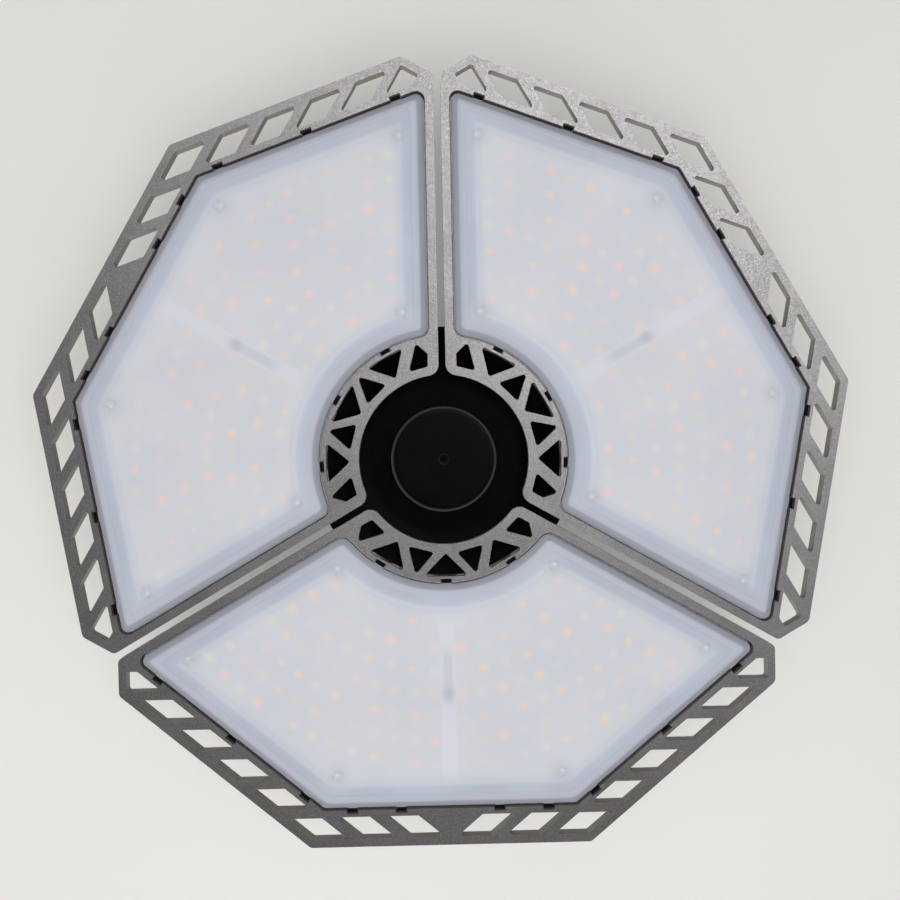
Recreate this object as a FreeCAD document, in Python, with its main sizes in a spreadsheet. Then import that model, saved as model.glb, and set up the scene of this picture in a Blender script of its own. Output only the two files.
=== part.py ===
import FreeCAD, Part
import math
import os

import Sketcher
from FreeCAD import Placement, Rotation, Vector

# A folding garage lamp: three lit sector panels hang on hinges round a hub, and the hub ends in a
# screw base. Plus Z points up into the socket. The origin is on the lamp's axis, in the plane of
# the screw shell's lower rim. The panels lie flat, with their lit faces down.
#
# Pieces of the hub and the panels are drawn in a frame of their own. Its x runs outward from the
# axis, its y round the lamp, and its z is the depth behind the lit face, which is at depth 0.

# Driving dimensions, in millimetres.
SIZES = {
    # plan of a panel, a third of a nine-sided plate
    "nonagon_radius": 163.0,
    "corner_cut": 11.16,
    "seam_half_gap": 1.4,
    "ring_inner_radius": 33.5,
    "ring_corner_round": 4.5,
    "pocket_arc_radius": 48.6,
    "seam_wall": 3.3,
    "apex_round": 3.0,
    "seam_end_round": 2.5,
    "vertex_round": 2.5,
    # slanted holes in the outer rim
    "outer_strip": 3.1,
    "hole_band": 8.9,
    "inner_strip": 2.5,
    "chamfer_strip": 3.0,
    "end_hole_pitch": 18.9,
    "middle_hole_pitch": 19.3,
    "rim_bar": 3.5,
    "end_hole_flat": 7.9,
    "rim_hole_round": 1.0,
    # truss of triangular holes in the inner ring
    "ring_hole_inner": 37.0,
    "ring_hole_outer": 47.1,
    "ring_wall": 2.2,
    "ring_hole_round": 0.9,
    # depths of the panel casting
    "ring_depth": 4.0,
    "rim_depth": 6.5,
    "pocket_depth": 6.0,
    "tray_depth": 8.2,
    "pocket_round": 3.5,
    "pocket_arc_round": 4.5,
    "pocket_vertex_round": 1.5,
    "least_round": 0.5,
    "notch_length": 4.6,
    "notch_reach": 1.4,
    "notch_depth": 4.0,
    "notch_end_gap": 3.0,
    # cooling ribs and bosses on the back of a panel
    "rib_depth": 4.4,
    "rib_thickness": 1.8,
    "rib_pitch": 12.0,
    "rib_end_gap": 6.0,
    "boss_radius": 3.6,
    "boss_depth": 3.0,
    # diffuser
    "diffuser_gap": 0.8,
    "lens_edge_depth": 1.5,
    "lens_rise": 0.8,
    "lens_slope": 4.8,
    "lens_wall": 1.6,
    "lens_wall_inset": 0.2,
    "skirt_wall": 2.0,
    "skirt_step_depth": 3.0,
    "hook_length": 3.8,
    "hook_root": 0.6,
    "hook_reach": 0.9,
    "hook_start": 1.9,
    "hook_depth": 1.6,
    # lamp board and its chips
    "board_thickness": 1.6,
    "board_gap": 0.5,
    "chip_length": 3.5,
    "chip_width": 2.8,
    "chip_height": 0.9,
    "first_chip_radius": 65.0,
    "chip_row_pitch": 9.35,
    "chip_pitch": 8.0,
    "chip_band_half": 5.2,
    "chip_seam_margin": 19.4,
    "chip_edge_margin": 14.0,
    # board screws
    "board_screw_radius": 1.45,
    "board_screw_hole": 1.6,
    "board_screw_head": 2.8,
    "board_screw_head_height": 1.3,
    "board_screw_length": 5.6,
    "screw_edge_inset": 14.0,
    "screw_seam_inset": 11.0,
    "screw_arc_inset": 11.6,
    "vertex_screw_shift": 1.0,
    "screw_hole_rest": 0.4,
    # hinge
    "hinge_radius": 62.0,
    "hinge_depth": 22.0,
    "pin_radius": 2.5,
    "running_gap": 0.05,
    "tongue_half_width": 6.0,
    "washer_thickness": 0.8,
    "washer_radius": 6.5,
    "cheek_thickness": 5.0,
    "knuckle_radius": 7.0,
    "heel_gap": 0.15,
    "pin_head_radius": 4.6,
    "pin_head_height": 3.0,
    "nut_across_flats": 8.0,
    "nut_height": 4.0,
    "pin_end": 1.2,
    # hinge bracket on the panel's back
    "bracket_pad_depth": 2.0,
    "bracket_pad_margin": 1.0,
    "bracket_thickness": 2.5,
    "bracket_half_width": 21.0,
    "bracket_start": 54.0,
    "bracket_end": 84.0,
    "bracket_screw_radius": 2.0,
    "bracket_screw_x": 76.0,
    "bracket_screw_y": 15.5,
    "bracket_screw_head": 3.6,
    "bracket_screw_head_height": 2.2,
    "bracket_screw_bite": 3.2,
    "tongue_foot": 3.0,
    "heel_bevel": 1.0,
    # hub, measured along the axis from the lit face
    "face_depth": 86.0,
    "dish_radius": 53.0,
    "dish_rim_depth": 11.4,
    "dish_floor_depth": 15.5,
    "dish_floor_radius": 31.0,
    "dish_wall": 1.8,
    "dish_bowl_round": 12.0,
    "dish_boss_radius": 3.5,
    "dish_boss_start": 13.6,
    "cap_radius": 21.0,
    "cap_depth": 3.0,
    "cap_round": 2.2,
    "cap_wall": 2.0,
    "dimple_radius": 0.9,
    "dimple_depth": 0.5,
    "post_radius": 4.0,
    "post_hole": 4.3,
    "post_end": 1.0,
    "carrier_radius": 51.0,
    "carrier_depth": 19.0,
    "carrier_thickness": 5.0,
    "arm_root": 44.0,
    "arm_thickness": 8.0,
    "slot_floor": 8.4,
    "carrier_hole": 9.0,
    "hub_screw_radius": 1.45,
    "hub_screw_head": 2.7,
    "hub_screw_head_height": 1.8,
    "housing_screw_circle": 37.4,
    "dish_screw_circle": 45.2,
    # driver housing, neck and screw base
    "flange_radius": 40.8,
    "flange_thickness": 3.0,
    "housing_base_radius": 34.0,
    "housing_top_radius": 31.5,
    "shoulder_drop": 13.0,
    "shoulder_round": 6.0,
    "housing_wall": 2.2,
    "neck_radius": 17.5,
    "neck_length": 12.0,
    "neck_top_radius": 14.6,
    "neck_mouth_radius": 13.6,
    "neck_collar": 2.0,
    "neck_lip": 0.6,
    "spigot_radius": 11.5,
    "slot_width": 2.6,
    "slot_height": 22.0,
    "slot_start": 33.0,
    "collar_radius": 13.35,
    "collar_length": 2.0,
    "shell_radius": 13.05,
    "shell_length": 18.4,
    "shell_rim_radius": 12.0,
    "shell_rim_length": 1.6,
    "shell_bore": 11.6,
    "tip_seat_drop": 3.0,
    "thread_pitch": 3.629,
    "groove_depth": 0.85,
    "groove_width": 2.5,
    "tip_height": 4.6,
    "tip_radius": 5.6,
    "contact_radius": 4.7,
    "contact_height": 1.6,
    "rivet_radius": 1.2,
    "rivet_tail": 1.0,
    # driver electronics
    "driver_board_half_width": 25.0,
    "driver_board_rise": 1.0,
    "driver_board_thickness": 1.6,
    "driver_lift": 3.0,
    "core_inset": 2.0,
    "core_length": 19.0,
    "core_width": 13.0,
    "core_height": 16.0,
    "core_yoke": 3.0,
    "core_side": 2.7,
    "coil_radius": 6.2,
    "capacitor_radius": 5.0,
    "capacitor_height": 18.0,
    "first_capacitor_x": 7.0,
    "capacitor_pitch": 11.5,
    "choke_radius": 6.0,
    "choke_wire": 2.4,
    "choke_x": -10.0,
    "choke_drop": 10.0,
    # wire grommets
    "grommet_hole": 3.0,
    "grommet_flange": 4.6,
    "grommet_lip": 1.8,
    "grommet_bore": 1.7,
    "hub_grommet_circle": 45.6,
    "panel_grommet_x": 66.0,
    "panel_grommet_y": 30.0,
}

PANEL_ANGLES = {1: 30.0, 2: 150.0, 3: 270.0}
SIDES_PER_TURN = 9
HALF_PANEL = math.radians(60.0)
HALF_SIDE = math.radians(180.0 / SIDES_PER_TURN)
END_SIDE = 2.0 * HALF_SIDE
ARM_COUNT = 3
HUB_SCREW_ANGLES = (60.0, 180.0, 300.0)
HUB_GROMMET_ANGLES = (35.0, 155.0, 275.0)
VENT_COUNT = 18
# where the snap notches sit: along an end side, across the middle side, and round the arc
NOTCHES_ON_END = (14.5, 51.7, 88.9)
NOTCHES_ON_MIDDLE = (19.6, 39.1)
NOTCHES_ON_ARC = (0.0, 32.5)
# corner angles of the ring's triangular holes, as (on the inner circle, on the outer circle);
# the last one lies beside the seam, and its outer corner on that side is cut back
RING_HOLES = (
    ((6.8, 23.6), (14.9,)),
    ((30.4,), (40.8, 20.6)),
)
RING_CENTRE_HOLE = 11.1
RING_END_HOLE = (39.2, 47.4, 52.4, 51.2)
# the chips on the back of the driver board, as (x, height, width, length, thickness)
DRIVER_CHIPS = (
    (-14.0, 10.0, 9.0, 6.0, 1.8),
    (2.0, 12.0, 6.0, 5.0, 1.6),
    (14.0, 10.0, 8.0, 4.0, 2.4),
    (-4.0, 26.0, 7.0, 10.0, 2.6),
    (12.0, 26.0, 5.0, 4.0, 1.6),
)
# a screw head's rounding and recess depth as shares of its height, and the recess arm's length and
# half thickness as shares of its radius
HEAD_ROUND = 0.6
RECESS_DEPTH = 0.55
RECESS_ARM = 0.55
RECESS_HALF_WIDTH = 0.14
# how far each board screw's recess is turned from the next one's, for every millimetre of x
RECESS_TURN = 7.0
LIP_ROUND = 0.4
BUTTON_EDGE = 0.4
BUTTON_TOP = 0.55
# how far a cut runs past the face it leaves through
CUT_PAST = 1.0
TOLERANCE = 1e-6
# how far an edge may lie from the place that names it
EDGE_MATCH = 1e-3

doc = FreeCAD.newDocument("garage_lamp")
sheet = doc.addObject("Spreadsheet::Sheet", "Sizes")
for row, (alias, number) in enumerate(SIZES.items(), 1):
    sheet.set(f"A{row}", alias)
    sheet.set(f"B{row}", str(number))
    sheet.setAlias(f"B{row}", alias)
doc.recompute()

parts = []


class Length:
    """A length in millimetres, kept together with the sheet expression that gives it."""

    def __init__(self, value, text):
        self.value = float(value)
        self.text = text

    def __add__(self, other):
        other = as_length(other)
        return Length(self.value + other.value, f"({self.text} + {other.text})")

    def __sub__(self, other):
        other = as_length(other)
        return Length(self.value - other.value, f"({self.text} - {other.text})")

    def __neg__(self):
        return Length(-self.value, f"(-{self.text})")

    def __mul__(self, factor):
        return Length(self.value * factor, f"({self.text} * {factor:.9f})")

    def __float__(self):
        return self.value


def as_length(item):
    """The item itself if it is a Length, or a fixed Length of that number."""
    if isinstance(item, Length):
        return item
    return Length(item, f"{item:.6f}")


def size(alias):
    """The sheet's dimension of that name, as a Length."""
    return Length(sheet.get(alias), f"Sizes.{alias}")


def mm(alias):
    """The sheet's dimension of that name, as a plain number."""
    return float(sheet.get(alias))


def bind(item, name, length):
    """Tie one property of a feature to the sheet."""
    item.setExpression(name, as_length(length).text)


# Depths and radii that several pieces share
SIDE_APOTHEM = mm("nonagon_radius") * math.cos(HALF_SIDE)
RIM_WIDTH = mm("outer_strip") + mm("hole_band") + mm("inner_strip")
POCKET_APOTHEM = SIDE_APOTHEM - RIM_WIDTH
POCKET_SEAM = mm("seam_half_gap") + mm("seam_wall")
BOARD_FRONT = size("pocket_depth") - size("board_thickness")
PAD_BACK = size("tray_depth") + size("bracket_pad_depth")
BRACKET_BACK = PAD_BACK + size("bracket_thickness")
CARRIER_BACK = size("carrier_depth") + size("carrier_thickness")
CHEEK_INNER = size("tongue_half_width") + size("washer_thickness") + size("running_gap") * 2.0
CHEEK_OUTER = CHEEK_INNER + size("cheek_thickness")
PIN_HOLE = size("pin_radius") + size("running_gap")
HOUSING_TOP = size("face_depth") - size("neck_length")
SHOULDER = HOUSING_TOP - size("shoulder_drop")
PANEL_HALF_WIDTH = mm("nonagon_radius") * math.sin(HALF_PANEL) - mm("corner_cut")


def hub_placement(angle=PANEL_ANGLES[1]):
    """The frame that measures depth behind the lit face, turned about the axis."""
    return Placement(Vector(0, 0, -mm("face_depth")), Rotation(Vector(0, 0, 1), angle))


# ---- sketches and features ----


def new_body(label, placement=None):
    """An empty body with its label and placement."""
    body = doc.addObject("PartDesign::Body", label)
    body.Label = label
    if placement is not None:
        body.Placement = placement
        bind(body, "Placement.Base.z", -size("face_depth"))
    parts.append(body)
    return body


def new_sketch(body, name, role="XY_Plane", height=None):
    """An empty sketch on one of the body's own origin planes, moved along its normal."""
    sketch = body.newObject("Sketcher::SketchObject", name)
    plane = [item for item in body.Origin.OriginFeatures if item.Role == role][0]
    sketch.AttachmentSupport = [(plane, "")]
    sketch.MapMode = "FlatFace"
    if height is not None:
        sketch.setExpression(".AttachmentOffset.Base.z", as_length(height).text)
    return sketch


def bound_outline(sketch, corners):
    """A closed outline whose corners are held by sheet expressions."""
    corners = [(as_length(across), as_length(up)) for across, up in corners]
    points = [Vector(across.value, up.value, 0) for across, up in corners]
    count = len(points)
    first = sketch.GeometryCount
    for index in range(count):
        sketch.addGeometry(Part.LineSegment(points[index], points[(index + 1) % count]))
    for index in range(count):
        line = first + index
        following = first + (index + 1) % count
        sketch.addConstraint(Sketcher.Constraint("Coincident", line, 2, following, 1))
        for kind, held in zip(("DistanceX", "DistanceY"), corners[index]):
            rule = sketch.addConstraint(Sketcher.Constraint(kind, -1, 1, line, 1, held.value))
            sketch.setExpression(f"Constraints[{rule}]", held.text)


def bound_circle(sketch, across, up, radius):
    """A circle whose centre and radius are held by sheet expressions."""
    held = [as_length(item) for item in (across, up, radius)]
    centre = Vector(held[0].value, held[1].value, 0)
    circle = sketch.addGeometry(Part.Circle(centre, Vector(0, 0, 1), held[2].value))
    rules = (
        Sketcher.Constraint("DistanceX", -1, 1, circle, 3, held[0].value),
        Sketcher.Constraint("DistanceY", -1, 1, circle, 3, held[1].value),
        Sketcher.Constraint("Radius", circle, held[2].value),
    )
    for rule, length in zip(rules, held):
        number = sketch.addConstraint(rule)
        sketch.setExpression(f"Constraints[{number}]", length.text)


def pad(body, sketch, length, symmetric=False):
    """Material along the sketch's normal."""
    feature = body.newObject("PartDesign::Pad", f"{sketch.Name}_pad")
    feature.Profile = sketch
    if symmetric:
        feature.SideType = "Symmetric"
    bind(feature, "Length", length)
    sketch.Visibility = False
    return feature


def pocket(body, sketch, length, symmetric=False):
    """A cut along the sketch's normal, or to both sides of it."""
    feature = body.newObject("PartDesign::Pocket", f"{sketch.Name}_pocket")
    feature.Profile = sketch
    feature.Reversed = not symmetric
    if symmetric:
        feature.SideType = "Symmetric"
    bind(feature, "Length", length)
    sketch.Visibility = False
    return feature


def revolve(body, name, corners):
    """A full turn about Z of an outline in the XZ plane."""
    sketch = new_sketch(body, name, "XZ_Plane")
    bound_outline(sketch, corners)
    feature = body.newObject("PartDesign::Revolution", f"{name}_turned")
    feature.Profile = sketch
    feature.ReferenceAxis = (sketch, ["V_Axis"])
    feature.Angle = 360.0
    return feature


def repeat_round(body, features, count):
    """Copies of the features evenly round the body's Z axis."""
    pattern = body.newObject("PartDesign::PolarPattern", f"{features[0].Name}_pattern")
    pattern.Originals = features
    axis = [item for item in body.Origin.OriginFeatures if item.Role == "Z_Axis"][0]
    pattern.Axis = (axis, [""])
    pattern.Angle = 360.0
    pattern.Occurrences = count
    body.Tip = pattern
    return pattern


def round_rims(body, name, rims, radius):
    """Round the circular edges about Z that lie at the given (radius, height) places."""
    doc.recompute()
    base = body.Tip
    wanted = [(float(across), float(up)) for across, up in rims]
    chosen = []
    for number, edge in enumerate(base.Shape.Edges, 1):
        if not isinstance(edge.Curve, Part.Circle):
            continue
        place = (edge.Curve.Radius, edge.Curve.Center.z)
        if any(math.dist(place, target) < EDGE_MATCH for target in wanted):
            chosen.append(f"Edge{number}")
    feature = body.newObject("PartDesign::Fillet", name)
    feature.Base = (base, chosen)
    bind(feature, "Radius", radius)
    return feature


# ---- plane outlines ----


def polar(radius, angle):
    """The plan point at that radius and that angle in degrees."""
    return Vector(radius * math.cos(math.radians(angle)), radius * math.sin(math.radians(angle)), 0)


def mirrored(point):
    """The same plan point on the other side of the panel's centre line."""
    return Vector(point.x, -point.y, 0)


def corner_arc(before, corner, after, radius):
    """Where a rounding of a corner starts, its middle and where it ends."""
    back = (before - corner).normalize()
    ahead = (after - corner).normalize()
    half = back.getAngle(ahead) / 2.0
    reach = radius / math.tan(half)
    middle_line = (back + ahead).normalize()
    centre = corner + middle_line * (radius / math.sin(half))
    return corner + back * reach, centre - middle_line * radius, corner + ahead * reach


def chain(points, radii):
    """Straight edges through the points, with each inner point rounded by its radius."""
    edges = []
    start = points[0]
    for before, corner, after, radius in zip(points, points[1:], points[2:], radii):
        first, middle, last = corner_arc(before, corner, after, radius)
        edges.append(Part.LineSegment(start, first))
        edges.append(Part.Arc(first, middle, last))
        start = last
    edges.append(Part.LineSegment(start, points[-1]))
    return edges


def rounded_loop(corners, radii):
    """A closed outline with every corner rounded; radius 0 keeps a corner sharp."""
    edges = []
    count = len(corners)
    ends = []
    for index, (corner, radius) in enumerate(zip(corners, radii)):
        if radius <= 0.0:
            ends.append((corner, None, corner))
            continue
        ends.append(corner_arc(corners[index - 1], corner, corners[(index + 1) % count], radius))
    for index, (first, middle, last) in enumerate(ends):
        if middle is not None:
            edges.append(Part.Arc(first, middle, last))
        edges.append(Part.LineSegment(last, ends[(index + 1) % count][0]))
    return edges


def seam_point(along, offset):
    """The point that far along the seam's ray and that far from it into the panel."""
    ray = Vector(math.cos(HALF_PANEL), math.sin(HALF_PANEL), 0)
    inward = Vector(math.sin(HALF_PANEL), -math.cos(HALF_PANEL), 0)
    return ray * along + inward * offset


def end_side_x(apothem, y):
    """The x of the end side of a nonagon of that apothem, at the given y."""
    return (apothem - y * math.sin(END_SIDE)) / math.cos(END_SIDE)


def sector(arc_radius, arc_round, offset, apothem, seam_round, vertex_round, half_width=None,
           apex_round=0.0):
    """A panel-shaped outline: an inner arc, two seam edges and three sides of the nonagon.

    With a half width, the sharp outer corners are cut off parallel to the centre line.
    """
    centre_offset = offset + arc_round
    centre_along = math.sqrt((arc_radius + arc_round) ** 2 - centre_offset ** 2)
    centre = seam_point(centre_along, centre_offset)
    on_arc = centre * (arc_radius / (arc_radius + arc_round))
    on_seam = seam_point(centre_along, offset)
    bulge = (on_arc + on_seam) * 0.5 - centre
    between = centre + bulge.normalize() * arc_round
    corners = []
    radii = []
    if half_width is None:
        along = (apothem - offset * math.sin(HALF_SIDE)) / math.cos(HALF_SIDE)
        corners.append(seam_point(along, offset))
        radii.append(seam_round)
    else:
        along = (half_width + offset * math.cos(HALF_PANEL)) / math.sin(HALF_PANEL)
        corners.append(seam_point(along, offset))
        corners.append(Vector(end_side_x(apothem, half_width), half_width, 0))
        radii.extend((seam_round, apex_round))
    corners.append(Vector(apothem, apothem * math.tan(HALF_SIDE), 0))
    radii.append(vertex_round)
    path = [on_seam] + corners + [mirrored(point) for point in reversed(corners)]
    path.append(mirrored(on_seam))
    edges = [Part.Arc(on_arc, between, on_seam)]
    edges.extend(chain(path, radii + radii[::-1]))
    edges.append(Part.Arc(mirrored(on_seam), mirrored(between), mirrored(on_arc)))
    edges.append(Part.Arc(mirrored(on_arc), Vector(arc_radius, 0, 0), on_arc))
    return edges


def frame_outline(arc_radius=None):
    """The panel casting's outer outline, from the inner ring or from a larger arc."""
    radius = arc_radius or mm("ring_inner_radius")
    return sector(radius, mm("ring_corner_round"), mm("seam_half_gap"), SIDE_APOTHEM,
                  mm("seam_end_round"), mm("vertex_round"), PANEL_HALF_WIDTH, mm("apex_round"))


def pocket_outline(inset):
    """The diffuser pocket's outline, drawn in by the inset."""
    least = mm("least_round")
    return sector(mm("pocket_arc_radius") + inset, max(mm("pocket_arc_round") - inset, least),
                  POCKET_SEAM + inset, POCKET_APOTHEM - inset,
                  max(mm("pocket_round") - inset, least), mm("pocket_vertex_round"))


def rim_vertex():
    """The nonagon's vertex on the line that bounds the rim holes outside."""
    apothem = SIDE_APOTHEM - mm("outer_strip")
    return Vector(apothem, apothem * math.tan(HALF_SIDE), 0)


def rim_holes():
    """Corner loops of the rim's holes on the half with positive y, as (corners, radii)."""
    along_end = Vector(-math.sin(END_SIDE), math.cos(END_SIDE), 0)
    slant = mm("hole_band") / math.sin(END_SIDE)
    down = Vector(0, -slant, 0)
    bar = mm("rim_bar") / math.sin(END_SIDE)
    end_side = along_end * (mm("end_hole_pitch") - bar)
    middle_side = Vector(0, bar - mm("middle_hole_pitch"), 0)
    small = mm("rim_hole_round")
    radii = (0.0, small, 0.0, small)
    chamfer_line = PANEL_HALF_WIDTH - mm("chamfer_strip")
    end_length = (chamfer_line - rim_vertex().y) / math.cos(END_SIDE)
    end_count = round(end_length / mm("end_hole_pitch"))
    middle_count = int(rim_vertex().y / mm("middle_hole_pitch"))
    holes = []
    for number in range(end_count):
        start = rim_vertex() + along_end * (number * mm("end_hole_pitch"))
        holes.append(((start, start + end_side, start + end_side + down, start + down), radii))
    for number in range(1, middle_count + 1):
        start = rim_vertex() + Vector(0, -number * mm("middle_hole_pitch"), 0)
        inner = along_end * slant
        corners = (start, start + inner, start + middle_side + inner, start + middle_side)
        holes.append((corners, radii))
    # the last hole fills the cut-off corner with a house shape
    outer = SIDE_APOTHEM - mm("outer_strip")
    inner = outer - mm("hole_band")
    bar_start = rim_vertex() + along_end * (end_count * mm("end_hole_pitch"))
    right = bar_start.x
    left = right - mm("end_hole_flat")
    peak_y = min(chamfer_line, (outer - right * math.cos(END_SIDE)) / math.sin(END_SIDE))
    house = (
        Vector(right, peak_y, 0),
        Vector(left, chamfer_line, 0),
        Vector(left, (inner - left * math.cos(END_SIDE)) / math.sin(END_SIDE), 0),
        Vector(right, (inner - right * math.cos(END_SIDE)) / math.sin(END_SIDE), 0),
    )
    holes.append((house, (small, small, small, small)))
    return holes


def ring_holes():
    """Corner loops of the inner ring's triangular holes on the half with positive y."""
    inner = mm("ring_hole_inner")
    outer = mm("ring_hole_outer")
    holes = []
    for inner_angles, outer_angles in RING_HOLES:
        corners = [polar(inner, angle) for angle in inner_angles]
        corners.extend(polar(outer, angle) for angle in outer_angles)
        holes.append(corners)
    start, outside, beside, finish = RING_END_HOLE
    holes.append([polar(inner, start), polar(outer, outside),
                  polar((inner + outer) / 2.0, beside), polar(inner, finish)])
    return holes


def edge_places():
    """Notch places as (middle point on the pocket's edge, outward direction)."""
    outward_end = Vector(math.cos(END_SIDE), math.sin(END_SIDE), 0)
    along_end = Vector(-math.sin(END_SIDE), math.cos(END_SIDE), 0)
    vertex = Vector(SIDE_APOTHEM, SIDE_APOTHEM * math.tan(HALF_SIDE), 0)
    room = mm("notch_length") / 2.0 + mm("notch_end_gap")
    corner = seam_point((POCKET_APOTHEM - POCKET_SEAM * math.sin(HALF_SIDE)) / math.cos(HALF_SIDE),
                        POCKET_SEAM)
    places = []
    for along in NOTCHES_ON_END:
        point = vertex + along_end * along - outward_end * RIM_WIDTH
        if (corner - point).dot(along_end) < room:
            continue
        places.append((point, outward_end))
        places.append((mirrored(point), mirrored(outward_end)))
    for across in NOTCHES_ON_MIDDLE:
        if POCKET_APOTHEM * math.tan(HALF_SIDE) - across < room:
            continue
        for side in (1.0, -1.0):
            places.append((Vector(POCKET_APOTHEM, side * across, 0), Vector(1, 0, 0)))
    for angle in sorted({side * angle for angle in NOTCHES_ON_ARC for side in (1.0, -1.0)}):
        places.append((polar(mm("pocket_arc_radius"), angle), polar(-1.0, angle)))
    return places


def edge_rectangle(place, outward, length, inner, outer):
    """A rectangle across the pocket's edge, from the inner to the outer distance."""
    along = Vector(-outward.y, outward.x, 0) * (length / 2.0)
    near = place + outward * inner
    far = place + outward * outer
    return rounded_loop((near - along, far - along, far + along, near + along), (0, 0, 0, 0))


def board_screw_places():
    """The six screws of a lamp board: at the seam's two ends and at the vertices."""
    offset = POCKET_SEAM + mm("screw_seam_inset")
    apothem = POCKET_APOTHEM - mm("screw_edge_inset")
    outer_along = (apothem - offset * math.sin(HALF_SIDE)) / math.cos(HALF_SIDE)
    arc = mm("pocket_arc_radius") + mm("screw_arc_inset")
    inner_along = math.sqrt(arc ** 2 - offset ** 2)
    vertex = Vector(apothem, apothem * math.tan(HALF_SIDE) - mm("vertex_screw_shift"), 0)
    half = [seam_point(outer_along, offset), seam_point(inner_along, offset), vertex]
    return half + [mirrored(point) for point in half]


def rib_spans():
    """The cooling ribs as (y, start x, end x), clear of the hinge and the board screws."""
    spans = []
    gap = mm("rib_end_gap")
    pitch = mm("rib_pitch")
    count = int((PANEL_HALF_WIDTH - mm("seam_wall") - gap * 3.0) / pitch)
    for number in range(-count, count + 1):
        y = number * pitch
        reach = abs(y) + mm("rib_thickness") / 2.0
        arc = mm("dish_radius") + gap / 2.0
        start = math.sqrt(max(arc ** 2 - reach ** 2, 0.0))
        seam = (POCKET_SEAM + gap + reach * math.cos(HALF_PANEL)) / math.sin(HALF_PANEL)
        start = max(start, seam)
        if reach < mm("bracket_half_width") + gap:
            start = max(start, mm("bracket_end") + gap)
        elif reach < mm("panel_grommet_y") + mm("grommet_flange") + gap / 2.0:
            start = max(start, mm("panel_grommet_x") + mm("grommet_flange") + gap / 2.0)
        end = min(POCKET_APOTHEM - gap, end_side_x(POCKET_APOTHEM - gap, reach))
        pieces = [(start, end)]
        clear = mm("boss_radius") + gap / 2.0
        for place in board_screw_places():
            if abs(place.y - y) > clear + mm("rib_thickness"):
                continue
            cut = []
            for low, high in pieces:
                cut.append((low, min(high, place.x - clear)))
                cut.append((max(low, place.x + clear), high))
            pieces = cut
        spans.extend((y, low, high) for low, high in pieces if high - low > gap)
    return spans


def chip_places():
    """Chip centres in arcs about the axis, as (point, angle)."""
    places = []
    room = POCKET_APOTHEM - mm("chip_edge_margin") - mm("first_chip_radius")
    for row in range(int(room / mm("chip_row_pitch")) + 1):
        radius = mm("first_chip_radius") + row * mm("chip_row_pitch")
        first = math.degrees(mm("chip_band_half") / radius)
        last = 60.0 - math.degrees(math.asin(mm("chip_seam_margin") / radius))
        count = int(math.radians(last - first) * radius / mm("chip_pitch")) + 1
        for number in range(count):
            angle = first + (last - first) * number / max(count - 1, 1)
            for side in (1.0, -1.0):
                places.append((polar(radius, side * angle), side * angle))
    return places


# ---- plain solids for groups and electronics ----


def outline_face(edges, height=0.0):
    """A flat face from outline geometry, at the given height."""
    wire = Part.Wire([edge.toShape() for edge in edges])
    wire.translate(Vector(0, 0, height))
    return Part.Face(wire)


def slab(edges, low, high):
    """A straight solid on an outline, between two heights."""
    return outline_face(edges, low).extrude(Vector(0, 0, high - low))


def rod(radius, low, high, x=0.0, y=0.0):
    """An upright cylinder between two heights."""
    return Part.makeCylinder(radius, high - low, Vector(x, y, low))


def block(x, y, z):
    """A box given by its three (low, high) spans."""
    low = Vector(x[0], y[0], z[0])
    return Part.makeBox(x[1] - x[0], y[1] - y[0], z[1] - z[0], low)


def cross_screw(shank, length, head, head_height):
    """A pan head screw: the shank runs down from the origin, the head stands above it."""
    body = rod(head, 0.0, head_height)
    rim = [edge for edge in body.Edges if abs(edge.BoundBox.ZMin - head_height) < TOLERANCE]
    body = body.makeFillet(head_height * HEAD_ROUND, rim)
    arm = (-head * RECESS_ARM, head * RECESS_ARM)
    thin = (-head * RECESS_HALF_WIDTH, head * RECESS_HALF_WIDTH)
    height = (head_height * (1.0 - RECESS_DEPTH), head_height + CUT_PAST)
    recess = block(arm, thin, height).fuse(block(thin, arm, height))
    return body.cut(recess).fuse(rod(shank, -length, 0.0)).removeSplitter()


def placed(shape, x, y, z, flip=False, angle=0.0):
    """A copy of the shape at a place, turned about Z or with its head towards minus Z."""
    copy = shape.copy()
    turn = Rotation(Vector(0, 0, 1), angle)
    if flip:
        turn = turn.multiply(Rotation(Vector(1, 0, 0), 180.0))
    copy.Placement = Placement(Vector(x, y, z), turn)
    return copy


def add_feature(label, solids, placement=None):
    """A sub-part whose shape is worked out here from the sheet's sizes."""
    feature = doc.addObject("Part::Feature", label)
    feature.Label = label
    feature.Shape = Part.makeCompound(solids)
    if placement is not None:
        feature.Placement = placement
        bind(feature, "Placement.Base.z", -size("face_depth"))
    parts.append(feature)
    return feature


# ---- a panel ----


def fill_sketch(body, name, loops, height=None):
    """A sketch on the plan plane that holds the given outlines."""
    sketch = new_sketch(body, name, "XY_Plane", height)
    for edges in loops:
        sketch.addGeometry(edges)
    return sketch


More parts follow.
